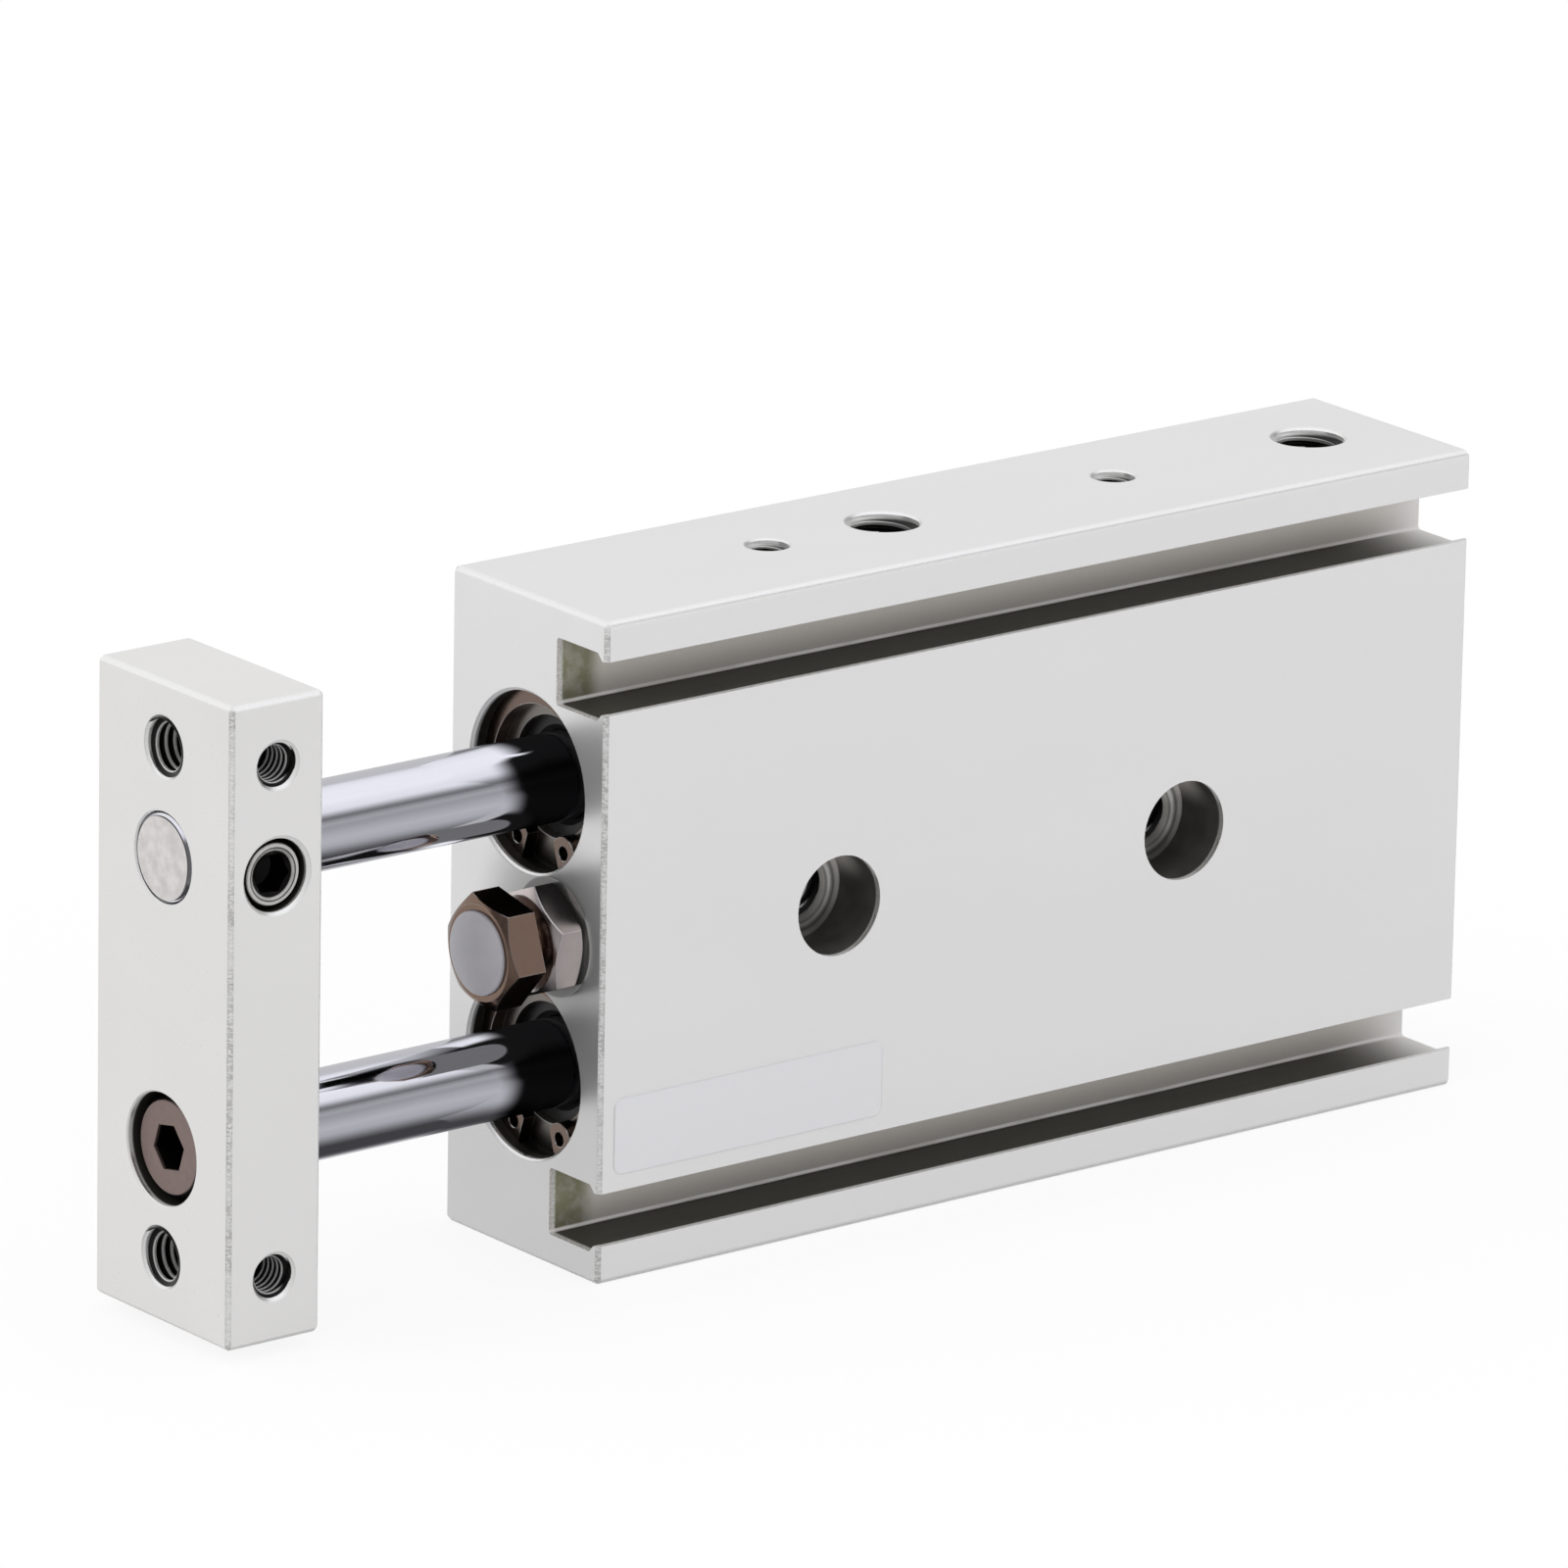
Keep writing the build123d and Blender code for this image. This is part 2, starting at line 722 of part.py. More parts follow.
def bore_pieces(side, height):
    """Every piece that one bore holds, by name."""
    gland_seal_start = gland_pocket_depth - ring_seal_land - ring_seal_groove + axial_gap
    cover_seal_start = cover_face + cover_seal_land + axial_gap
    pieces = {
        "front_snap_ring": snap_ring(ring_recess, height),
        "seal_retainer": seal_retainer(height),
        "rod_seal": rod_seal(height),
        "gland": gland(height),
        "gland_bush": gland_bush(height),
        "gland_o_ring": rounded_ring(gland_seal_start, height),
        "rod_side_bumper": rod_side_bumper(height),
        "piston": piston(height),
        "piston_seal": piston_seal(height),
        "magnet": magnet(height),
        "magnet_holder": magnet_holder(height),
        "wear_ring": wear_ring(height),
        "head_side_bumper": head_side_bumper(height),
        "head_cover": head_cover(height),
        "head_o_ring": rounded_ring(cover_seal_start, height),
        "rear_snap_ring": snap_ring(cover_back, height),
    }
    return {f"{side}_{name}": piece for name, piece in pieces.items()}


def all_pieces():
    pieces = {
        "housing": housing(),
        "stop_bolt": stop_bolt(),
        "stop_bolt_nut": stop_bolt_nut(),
        "stop_bolt_bumper": stop_bolt_bumper(),
        "port_plugs": port_plugs(),
        "end_plate": end_plate(),
        "upper_piston_rod": upper_piston_rod(),
        "lower_piston_rod": lower_piston_rod(),
        "rod_cap_screw": rod_cap_screw(),
        "rod_set_screw": rod_set_screw(),
    }
    for side, height in bore_heights.items():
        pieces.update(bore_pieces(side, height))
    return pieces


def main():
    os.makedirs("parts", exist_ok=True)
    for name, piece in all_pieces().items():
        solids = piece if isinstance(piece, list) else [piece]
        placed = Compound(children=[to_origin * solid for solid in solids])
        export_step(placed, f"parts/{name}.step")


main()
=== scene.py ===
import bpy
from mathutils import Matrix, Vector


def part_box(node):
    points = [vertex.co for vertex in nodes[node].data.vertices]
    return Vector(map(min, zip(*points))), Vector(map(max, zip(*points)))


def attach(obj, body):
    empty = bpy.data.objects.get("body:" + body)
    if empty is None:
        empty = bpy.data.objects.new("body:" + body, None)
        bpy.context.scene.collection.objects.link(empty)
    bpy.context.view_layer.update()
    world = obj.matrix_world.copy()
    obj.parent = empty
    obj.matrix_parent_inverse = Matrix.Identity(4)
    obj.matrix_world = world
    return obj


bl_info = {
    "name": "Twin rod cylinder dressing",
    "version": (1, 0, 0),
    "blender": (4, 5, 0),
    "location": "View3D > Sidebar > Cylinder",
    "description": "Cuts the threads of a twin rod cylinder, finishes each piece and sets the studio",
    "category": "Object",
}

from math import ceil, cos, pi, radians, sin

import bmesh
import bpy
from mathutils import Matrix, Vector

# Lengths are in metres, as the frame gives them. The shaders work in millimetres, which suit
# the grain of metal. +X runs along the bores to the head end, the back face lies at Y = 0, and
# Z = 0 is midway between the rods. THREAD_DEPTH is a metric thread's depth as a share of its pitch,
# and CREST names the layer of a thread's mesh that says how near its crest a corner lies.

MM = 0.001
CREST = "crest"
THREAD_DEPTH = 0.5413

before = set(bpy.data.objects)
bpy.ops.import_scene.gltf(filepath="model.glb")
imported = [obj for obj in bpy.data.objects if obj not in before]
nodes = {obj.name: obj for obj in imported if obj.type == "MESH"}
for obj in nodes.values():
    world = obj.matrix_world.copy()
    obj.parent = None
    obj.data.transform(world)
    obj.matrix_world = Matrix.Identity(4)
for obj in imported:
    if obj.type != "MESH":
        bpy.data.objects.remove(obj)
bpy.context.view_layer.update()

housing_low, housing_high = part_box("housing")
plate_low, plate_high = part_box("end_plate")
nut_low, nut_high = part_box("stop_bolt_nut")
stop_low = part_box("stop_bolt")[0]
upper_rod_low, upper_rod_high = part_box("upper_piston_rod")
lower_rod_low, lower_rod_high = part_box("lower_piston_rod")

housing_middle = (housing_low + housing_high) / 2
plate_middle = (plate_low + plate_high) / 2
nut_middle = (nut_low + nut_high) / 2
upper_axis = (upper_rod_low + upper_rod_high) / 2
lower_axis = (lower_rod_low + lower_rod_high) / 2


def screen(red, green, blue):
    """A colour as it shows on a screen, from 0 to 255, as the linear light that a shader takes."""
    channels = []
    for channel in (red, green, blue):
        level = channel / 255
        channels.append(level / 12.92 if level <= 0.04045 else ((level + 0.055) / 1.055) ** 2.4)
    return tuple(channels)


# Properties


def length(name, description, default):
    return bpy.props.FloatProperty(
        name=name, description=description, default=default, unit="LENGTH", precision=5
    )


def colour(name, description, default):
    return bpy.props.FloatVectorProperty(
        name=name, description=description, default=default, subtype="COLOR", size=3, min=0, max=1
    )


def share(name, description, default):
    return bpy.props.FloatProperty(
        name=name, description=description, default=default, subtype="FACTOR", min=0, max=1
    )


class ThreadSizes(bpy.types.PropertyGroup):
    """Sizes of the threads and how far in from each face they start."""

    pitch_m3: length("M3 pitch", "Distance between two turns of an M3 thread", 0.5 * MM)
    pitch_m4: length("M4 pitch", "Distance between two turns of an M4 thread", 0.7 * MM)
    pitch_m5: length("M5 pitch", "Distance between two turns of an M5 thread", 0.8 * MM)
    first_turn: length("First turn", "From a hole's chamfered mouth to its first turn", 0.35 * MM)
    bolt_neck: length("Bolt neck", "Thread that shows between the stop bolt's head and nut", 1.1 * MM)
    face_hole_margin: length("Face hole margin", "From the plate's end to its holes", 4.5 * MM)
    side_hole_depth: length("Side hole depth", "Threaded depth of the holes in the plate's side", 3.5 * MM)
    port_depth: length("Port depth", "Threaded depth of the air ports", 5.3 * MM)
    top_hole_depth: length("Top hole depth", "Threaded depth of the tapped holes on top", 4.3 * MM)
    mount_hole_pitch: length("Mounting hole pitch", "Between the two mounting holes", 30 * MM)
    mount_sink_depth: length("Counterbore depth", "Depth of the mounting holes' counterbores", 4.4 * MM)
    port_line: length("Port line", "From the bar's middle back to the row of holes on top", 0.5 * MM)
    rod_port: length("Rod end port", "From the bar's rod end to its first port", 30.3 * MM)
    head_port: length("Head end port", "From the bar's head end to its second port", 7.2 * MM)
    top_hole: length("Top hole", "From the bar's rod end to its first tapped hole on top", 20.4 * MM)
    top_hole_pitch: length("Top hole pitch", "Between the two tapped holes on top", 30 * MM)


class SlotSizes(bpy.types.PropertyGroup):
    """The sensor slots, for the shade that lies in them."""

    edge_distance: length("Edge distance", "From the bar's long edge to the slot's middle", 4.55 * MM)
    half_width: length("Half width", "From the slot's middle to its wall", 2.35 * MM)
    light_reach: length("Light reach", "How far light comes in at the head end", 12 * MM)
    # How far the painted olive reflection runs in from the rod end.
    reflection_reach: length("Stain reach", "How far the stain runs in from the rod end", 4 * MM)


class FilmSizes(bpy.types.PropertyGroup):
    """The bare label film on the bar's front face."""

    start: length("Start", "From the bar's rod end to the film", 1.2 * MM)
    width: length("Width", "Along the bar", 22.8 * MM)
    height: length("Height", "Across the bar", 5.4 * MM)
    above_base: length("Above the base", "From the bar's lower edge to the film", 7.5 * MM)
    thickness: length("Thickness", "Of the film", 0.06 * MM)
    pressed_in: length("Pressed in", "From the bar's face down to the film's glued side", 0.01 * MM)
    rounding: length("Rounding", "How far the film's outer side is drawn in", 0.03 * MM)
    corner: length("Corner", "Radius of the film's corners", 0.8 * MM)


class FinishColours(bpy.types.PropertyGroup):
    """Colours of the finishes."""

    bar: colour("Bar", "Anodised extrusion", screen(229, 228, 228))
    plate: colour("Plate", "Anodised end plate", screen(229, 228, 227))
    # Painted highlight: bevels, hole mouths and the top face's front and end edges take this pale colour in
    # place of the light they catch. On the plated pieces it brightens edges, partly as wear and partly as a
    # painted highlight.
    bevel: colour("Bevel", "Fresh cut edges and hole mouths", screen(246, 246, 245))
    chatter: colour("Chatter", "Cutter marks on the upright edges", screen(158, 157, 155))
    # Painted shade: walls inside holes and slots, and the nut's seat, take this dark colour in place of the
    # bar's own.
    hole_shade: colour("Hole wall", "Anodised walls inside holes", screen(46, 44, 41))
    open_wall: colour("Open wall", "Walls of the top holes, where light falls in", screen(214, 213, 211))
    # Painted shade: the counterbores' floor and wall are darker than the bar's own colour, for the shade
    # inside them.
    sink_floor: colour("Counterbore floor", "Turned floor of the counterbores", screen(178, 176, 172))
    sink_wall_shade: colour("Counterbore wall", "Wall of the counterbores", screen(92, 90, 87))
    # Painted shade and light in the slots: the floor is scaled lighter towards the top, the side walls are
    # dark as shade, and the slot end colour is painted light.
    slot_floor: colour("Slot floor", "Extruded floor of the sensor slots", screen(222, 218, 211))
    slot_wall_shade: colour("Slot wall", "Side walls of the sensor slots", screen(70, 68, 60))
    slot_end: colour("Slot end", "Slot walls where light comes in", screen(232, 230, 228))
    # Painted reflection: an olive tint on the slot floor at the rod end.
    slot_reflection: colour("Slot stain", "Extrusion stain at the rod end of the slots", screen(140, 138, 112))
    # Painted highlight on thread crests and painted shade in their roots.
    crest_highlight: colour("Thread crest", "Bright crests of the threads", screen(238, 238, 236))
    root_shade: colour("Thread root", "Dark roots of the threads", screen(24, 23, 22))
    chrome: colour("Chrome", "Hard chromed rods", screen(232, 232, 240))
    rod_face: colour("Rod face", "Turned end of the upper rod", screen(206, 202, 201))
    nickel: colour("Nickel", "Plated nut of the stop", screen(206, 196, 194))
    bolt: colour("Bolt", "Browned stop bolt", screen(168, 140, 124))
    oxide: colour("Black oxide", "Cap screw", screen(130, 113, 108))
    bright_screw: colour("Bright screw", "Clamping screw", screen(214, 213, 210))
    # Painted shade: black for screw sockets, the gaps round the screws and the edge of the rod's end face.
    socket: colour("Socket", "Inside of the screws' hexagons", screen(16, 12, 11))
    spring: colour("Spring steel", "Snap rings", screen(116, 100, 92))
    # Retainer steel, darker than its own colour as painted shade inside the bore mouths.
    washer: colour("Washer", "Seal retainers", screen(128, 123, 118))
    bumper: colour("Bumper", "Urethane of the stop", screen(168, 166, 172))
    film: colour("Film", "Bare label film", screen(206, 206, 209))
    turned: colour("Turned aluminium", "Glands, pistons and head covers", screen(196, 192, 186))
    rubber: colour("Rubber", "Seals and O-rings", screen(34, 33, 33))
    plug: colour("Plug steel", "Plugs of the lower ports", screen(92, 90, 88))
    bronze: colour("Bronze", "Bushes in the glands", screen(186, 146, 92))
    cushion: colour("Cushion", "Urethane cushions inside the bores", screen(196, 170, 96))
    magnet: colour("Magnet", "Bonded magnets", screen(62, 60, 60))
    resin: colour("Resin", "Wear rings", screen(214, 206, 184))


class StudioSettings(bpy.types.PropertyGroup):
    """The room around the cylinder, and the cards by its rod end that only gloss sees."""

    ambient: share("Ambient", "Light from all around", 0.95)
    floor: colour("Floor", "Pale floor", (0.86, 0.86, 0.86))
    floor_radius: length("Floor radius", "Of the pale floor", 1200 * MM)
    card: share("Cards", "Brightness of the dark cards", 0.008)
    nut_card: share("Nut card", "Brightness of the nut's card, which the bar's end mirrors", 0.17)
    card_gap: length("Card gap", "From the bar's end face to the cards", 0.03 * MM)
    mouth_reach: length("Mouth reach", "How far a mouth's sleeve goes into the bar", 2.2 * MM)
    mouth_radius: length("Mouth radius", "Of the sleeves inside the bore mouths", 3.25 * MM)
    rod_reach: length("Rod reach", "How far a rod's sleeve stands out from the bar", 8 * MM)
    rod_radius: length("Rod radius", "Of the sleeves round the rods", 3.05 * MM)
    nut_radius: length("Nut radius", "Of the sleeve round the stop bolt", 4.1 * MM)


# Shader maths


class Value:
    """One socket of a node tree. Arithmetic on it adds the Math nodes that work it out."""

    def __init__(self, tree, socket):
        self.tree = tree
        self.socket = socket

    def __add__(self, other):
        return calculate(self.tree, "ADD", self, other)

    def __radd__(self, other):
        return calculate(self.tree, "ADD", other, self)

    def __sub__(self, other):
        return calculate(self.tree, "SUBTRACT", self, other)

    def __rsub__(self, other):
        return calculate(self.tree, "SUBTRACT", other, self)

    def __mul__(self, other):
        return calculate(self.tree, "MULTIPLY", self, other)

    def __rmul__(self, other):
        return calculate(self.tree, "MULTIPLY", other, self)

    def __truediv__(self, other):
        return calculate(self.tree, "DIVIDE", self, other)

    def __abs__(self):
        return calculate(self.tree, "ABSOLUTE", self)

    def __pow__(self, power):
        return calculate(self.tree, "POWER", self, power)

    def sign(self):
        return calculate(self.tree, "SIGN", self)

    def least(self, other):
        return calculate(self.tree, "MINIMUM", self, other)

    def most(self, other):
        return calculate(self.tree, "MAXIMUM", self, other)


def feed(tree, socket, value):
    """Links a value to a socket, or sets the socket where the value is a plain number or colour."""
    if isinstance(value, Value):
        tree.links.new(value.socket, socket)
    elif hasattr(value, "__len__") and len(socket.default_value) == 4 and len(value) == 3:
        socket.default_value = (*value, 1)
    else:
        socket.default_value = value


def calculate(tree, operation, *values):
    node = tree.nodes.new("ShaderNodeMath")
    node.operation = operation
    for place, value in enumerate(values):
        feed(tree, node.inputs[place], value)
    return Value(tree, node.outputs[0])


class Shader:
    """A node tree under construction."""

    def __init__(self, tree):
        self.tree = tree
        tree.nodes.clear()

    def node(self, kind, settings=None, inputs=None, output=0):
        """Adds a node, first with its settings and then with its sockets' values or links."""
        node = self.tree.nodes.new("ShaderNode" + kind)
        for name, setting in (settings or {}).items():
            if name == "stops":
                set_stops(node.color_ramp, setting)
            else:
                setattr(node, name, setting)
        for name, value in (inputs or {}).items():
            feed(self.tree, node.inputs[name], value)
        return Value(self.tree, node.outputs[output]) if node.outputs else None

    def place(self):
        """The point that is shaded, in the piece's own frame, in millimetres."""
        point = self.node("TexCoord", output="Object")
        return self.scaled(point, 1 / MM)

    def scaled(self, vector, factor):
        return self.node("VectorMath", {"operation": "SCALE"}, {0: vector, "Scale": factor})

    def stretched(self, vector, x, y, z):
        """The vector with each part scaled by its own factor, so that a pattern runs along one direction."""
        return self.node("VectorMath", {"operation": "MULTIPLY"}, {0: vector, 1: (x, y, z)})

    def parts(self, vector):
        first = self.node("SeparateXYZ", inputs={0: vector})
        return [Value(self.tree, socket) for socket in first.socket.node.outputs]

    def vector(self, x, y, z):
        return self.node("CombineXYZ", inputs={0: x, 1: y, 2: z})

    def off_axis(self, place, axis, centre):
        """Distance in millimetres from an axis along X, Y or Z through a centre given in metres."""
        across = [
            part - centre[index] / MM for index, part in enumerate(self.parts(place)) if index != axis
        ]
        return (across[0] * across[0] + across[1] * across[1]) ** 0.5

    def ramp(self, value, low, high, at_low=0.0, at_high=1.0):
        """A soft step from one level to another while the value goes from low to high."""
        return self.node(
            "MapRange",
            {"interpolation_type": "SMOOTHSTEP"},
            {"Value": value, "From Min": low, "From Max": high, "To Min": at_low, "To Max": at_high},
        )

    def noise(self, vector, scale, detail=2.0, roughness=0.5):
        return self.node(
            "TexNoise", inputs={"Vector": vector, "Scale": scale, "Detail": detail, "Roughness": roughness}
        )

    def blend(self, factor, first, second):
        """A mix of two colours."""
        return self.node(
            "Mix", {"data_type": "RGBA"}, {0: factor, 6: first, 7: second}, output=2
        )

    def bump(self, height, strength, reach):
        """Relief of a height from 0 to 1, where 1 stands up by reach in millimetres."""
        return self.node("Bump", inputs={"Strength": strength, "Distance": reach * MM, "Height": height})

    def gloss(self, **inputs):
        """The surface shader, its sockets named with underscores for spaces."""
        named = {name.replace("_", " "): value for name, value in inputs.items()}
        return self.node("BsdfPrincipled", inputs=named)

    def finish(self, surface, kind="Material"):
        self.node(f"Output{kind}", inputs={"Surface": surface})


def set_stops(ramp, stops):
    while len(ramp.elements) < len(stops):
        ramp.elements.new(1.0)
    for element, (position, tint) in zip(ramp.elements, stops):
        element.position = position
        element.color = (*tint, 1)


def new_finish(name):
    material = bpy.data.materials.new(name)
    material.use_nodes = True
    return material, Shader(material.node_tree)


# Finishes

# Each pair holds the two values between which one thing turns into another. The first two say how
# square a surface stands to an axis. The others are distances in millimetres: below the piece's
# nearest face, below the bar's top, from the bar's middle back to front, and from the nut's axis.
END_ON = (0.9, 0.98)
FLOOR_ON = (0.5, 0.8)
WALL_DEPTH = (0.3, 0.52)
OPEN_WALL_DEPTH = (0.35, 0.55)
FRONT_HALF = (-0.2, 0.2)
NUT_SEAT = (4.0, 4.35)
NUT_SHADE = (3.8, 9.0)


def anodised_aluminium(name, low, high, tint, slotted=False):
    """Satin anodised aluminium with a fine grain, painted highlights on its bevels and painted shade on the
    walls inside its holes.
    """
    material, shader = new_finish(name)
    colours = bpy.context.scene.finish_colours
    place = shader.place()
    middle = (low + high) / 2 / MM
    half = (high - low) / 2 / MM
    point = [part - middle[axis] for axis, part in enumerate(shader.parts(place))]
    inward = [half[axis] - abs(part) for axis, part in enumerate(point)]
    normal = shader.parts(shader.node("TexCoord", output="Normal"))
    facing = [abs(part) for part in normal]
    grain = shader.noise(place, 9.0, 3.0, 0.6)
    cloud = shader.noise(shader.stretched(place, 0.25, 1, 1), 0.12, 1.0)
    wall = tuple(colours.hole_shade)
    end_shade = 0.035
    if slotted:
        in_slot, wall = bar_walls(shader, place, point, inward, facing, half[2])
        inward[0] = inward[0] + in_slot * half[0]
        end_shade = shader.ramp(point[2], 6 - half[2], 2.0, 0.18, 0)
    depth = inward[0].least(inward[1]).least(inward[2])
    # Painted shade: surfaces more than about 0.3 mm below the nearest face darken to the wall colour.
    deep = shader.ramp(depth, *WALL_DEPTH)
    sawn = shader.ramp(facing[0], *END_ON) * (1 - deep)

    # Painted highlight on oblique surfaces near a face: bevels and hole mouths.
    oblique = shader.ramp(facing[0].most(facing[1]).most(facing[2]), 0.9, 0.985, 1, 0)
    bevel = oblique * shader.ramp(depth, 0.0, 0.12) * shader.ramp(depth, 0.26, 0.4, 1, 0)
    upright = shader.ramp(inward[0].most(inward[1]), 0.3, 0.42, 1, 0) * oblique
    dots = chatter_marks(shader, place) * upright
    cut = bevel * (1 - upright) * shader.ramp(normal[2], -0.6, -0.3)
    cut = cut * shader.ramp(normal[0] + normal[1], -1.3, -1.0)
    # Painted highlight: a pale band along the top face's edges at the front and at the rod end.
    lip_highlight = shader.ramp((half[0] + point[0]).least(half[1] + point[1]), 0.28, 0.45, 0.7, 0)
    lip_highlight = lip_highlight * shader.ramp(normal[2], *END_ON) * shader.ramp(half[2] - point[2], 0.05, 0.15, 1, 0)

    tone = 1 + (grain - 0.5) * 0.05 + (cloud - 0.5) * 0.04 - sawn * end_shade
    # Painted shade on the inner walls.
    base = shader.scaled(shader.blend(deep, tint, wall), tone)
    if slotted:
        base = shader.blend(nut_shade(shader, place, half[0] + point[0]), base, tuple(colours.hole_shade))
    # Painted highlight on the bevels and along the top face's front and end edges.
    base = shader.blend((bevel * 0.8).most(lip_highlight), base, tuple(colours.bevel))
    base = shader.blend(dots * 0.8, base, tuple(colours.chatter))
    shader.finish(
        shader.gloss(
            Base_Color=base,
            Metallic=0.35 + sawn * 0.35 + cut * 0.55,
            Roughness=0.5 + (grain - 0.5) * 0.12 - sawn * 0.2 - cut * 0.22,
            Normal=shader.bump(grain, 0.1, 0.003),
        )
    )
    return material


def chatter_marks(shader, place):
    """The cutter's marks on an upright edge, stronger in some stretches than in others."""
    marks = shader.noise(shader.stretched(place, 0.45, 0.45, 1), 6.5, 3.0, 0.65)
    patch = shader.noise(place, 0.35, 1.0)
    return shader.ramp(marks, 0.4, 0.6, 0.15, 0.85) * shader.ramp(patch, 0.4, 0.6, 0.45, 1.0)


def nut_shade(shader, place, from_rod_end):
    """The lock nut's shade on the bar's rod end: dark at its seat, and fading over the room round it."""
    from_nut = shader.off_axis(place, 0, nut_middle)
    shade = shader.ramp(from_nut, *NUT_SEAT, 0.8, 0).most(shader.ramp(from_nut, *NUT_SHADE, 0.5, 0))
    return shade * shader.ramp(from_rod_end, 0, 0.2, 1, 0)


def bar_walls(shader, place, point, inward, facing, half_height):
    """Where the sensor slots lie, and the colour of all inner walls: painted shade in slots, counterbores
    and holes, and painted light on hole walls near the top.
    """
    in_slot, wall = slot_walls(shader, place, point, inward, facing)
    in_sink, sink_wall_shade = sink_walls(shader, place, point, inward, facing)
    wall = shader.blend(in_sink, wall, sink_wall_shade)
    # Painted light: hole walls within about half a millimetre of the top are pale, where light falls in.
    near_top = shader.ramp(half_height - point[2], *OPEN_WALL_DEPTH, 1, 0)
    return in_slot, shader.blend(near_top, wall, tuple(bpy.context.scene.finish_colours.open_wall))


def sink_walls(shader, place, point, inward, facing):
    """Where the counterbores lie, and their colour, as painted shade: turned rings on a grey floor that is
    lighter towards the top, and darker walls with a painted highlight.
    """
    colours = bpy.context.scene.finish_colours
    sizes = bpy.context.scene.thread_sizes
    along = abs(shader.parts(place)[0]) - sizes.mount_hole_pitch / 2 / MM
    radius = (along * along + point[2] * point[2]) ** 0.5
    front = shader.ramp(point[1], *FRONT_HALF, 1, 0)
    in_sink = shader.ramp(radius, 3.6, 3.7, 1, 0) * shader.ramp(inward[1], 4.8, 5.0, 1, 0) * front
    turned = shader.noise(shader.vector(radius, 0.0, 0.0), 2.2, 2.0, 0.6)
    streak = shader.noise(shader.stretched(place, 0.6, 0.6, 0.6), 0.9, 1.0, 0.5)
    floor = shader.ramp(facing[1], *FLOOR_ON)
    ring_tone = shader.ramp(turned, 0.35, 0.62, 0.4, 1.5) * (0.5 + streak)
    # Painted shade and light: the floor's rings are darker towards the bottom and lighter towards the top.
    ring_tone = ring_tone * shader.ramp(point[2], -3.0, 2.5, 0.3, 2.1)
    floor_colour = shader.scaled(tuple(colours.sink_floor), ring_tone)
    # Painted highlight on the upper wall, deeper in towards the floor.
    glint = shader.ramp(point[2], 0.2, 3.0) * shader.ramp(inward[1], 1.0, 3.6)
    wall_colour = shader.scaled(tuple(colours.sink_wall_shade), 0.35 + streak * 0.7 + glint * 8.0)
    return in_sink, shader.blend(floor, wall_colour, floor_colour)


def slot_walls(shader, place, point, inward, facing):
    """Where the sensor slots lie, and their colour, painted with light and shade: dark walls, a floor
    lighter towards the top, light at the head end, highlights along the lower corner and at the rod end, and
    an olive reflection at the rod end.
    """
    colours = bpy.context.scene.finish_colours
    slot = bpy.context.scene.slot_sizes
    half_width = slot.half_width / MM
    across = (inward[2] - slot.edge_distance / MM) * point[2].sign() * -1
    front = shader.ramp(point[1], *FRONT_HALF, 1, 0)
    in_slot = shader.ramp(abs(across), half_width + 0.05, half_width + 0.2, 1, 0) * front
    in_slot = in_slot * shader.ramp(inward[1], 0.2, 0.35) * shader.ramp(facing[0], 0.5, 0.7, 1, 0)
    floor = shader.ramp(facing[1], *FLOOR_ON)
    speckle = shader.noise(place, 5.0, 3.0, 0.65)
    patch = shader.noise(place, 0.9, 3.0, 0.6)
    run = shader.noise(shader.stretched(place, 0.08, 1, 1), 2.2, 2.0, 0.5)
    # Painted shade: the floor is darker towards the bottom of the slot and lighter towards its top.
    rise = shader.ramp(across, -half_width, 0.6, 0.62, 1.2)
    floor_colour = shader.scaled(tuple(colours.slot_floor), rise * (0.94 + speckle * 0.12))
    # Painted shade: dark side walls.
    wall_colour = shader.scaled(tuple(colours.slot_wall_shade), 0.8 + run * 0.4)
    inner = shader.blend(floor, wall_colour, floor_colour)
    half_length = inward[0] + abs(point[0])
    from_rod_end = half_length + point[0]
    from_head_end = half_length - point[0]
    # Painted reflection: an olive patch on the slot floor over the first few millimetres from the rod end.
    reflection = shader.ramp(from_rod_end, slot.reflection_reach / MM * 0.6, slot.reflection_reach / MM, 1, 0)
    reflection = reflection * floor * shader.ramp(patch, 0.3, 0.6, 0.7, 1.0)
    reflection_colour = shader.scaled(tuple(colours.slot_reflection), rise * (0.7 + patch * 0.5))
    inner = shader.blend(reflection, inner, reflection_colour)
    # Painted highlight: a pale line along the slot floor's lower corner.
    corner = floor * shader.ramp(across, 0.2 - half_width, 0.34 - half_width, 1, 0)
    inner = shader.blend(corner * shader.ramp(run, 0.35, 0.6, 0.4, 0.9), inner, tuple(colours.slot_end))
    lit = shader.ramp(from_head_end, -1, slot.light_reach / MM, 1, 0) ** 3
    # Painted highlight: a speckled pale strip at the slot's rod end.
    rod_end_highlight = shader.ramp(from_rod_end, 0.4, 0.6, 1, 0) * shader.ramp(speckle, 0.35, 0.6, 1.0, 0.6)
    inner = shader.blend(lit.most(rod_end_highlight), inner, tuple(colours.slot_end))
    return in_slot, shader.blend(in_slot, tuple(colours.hole_shade), inner)


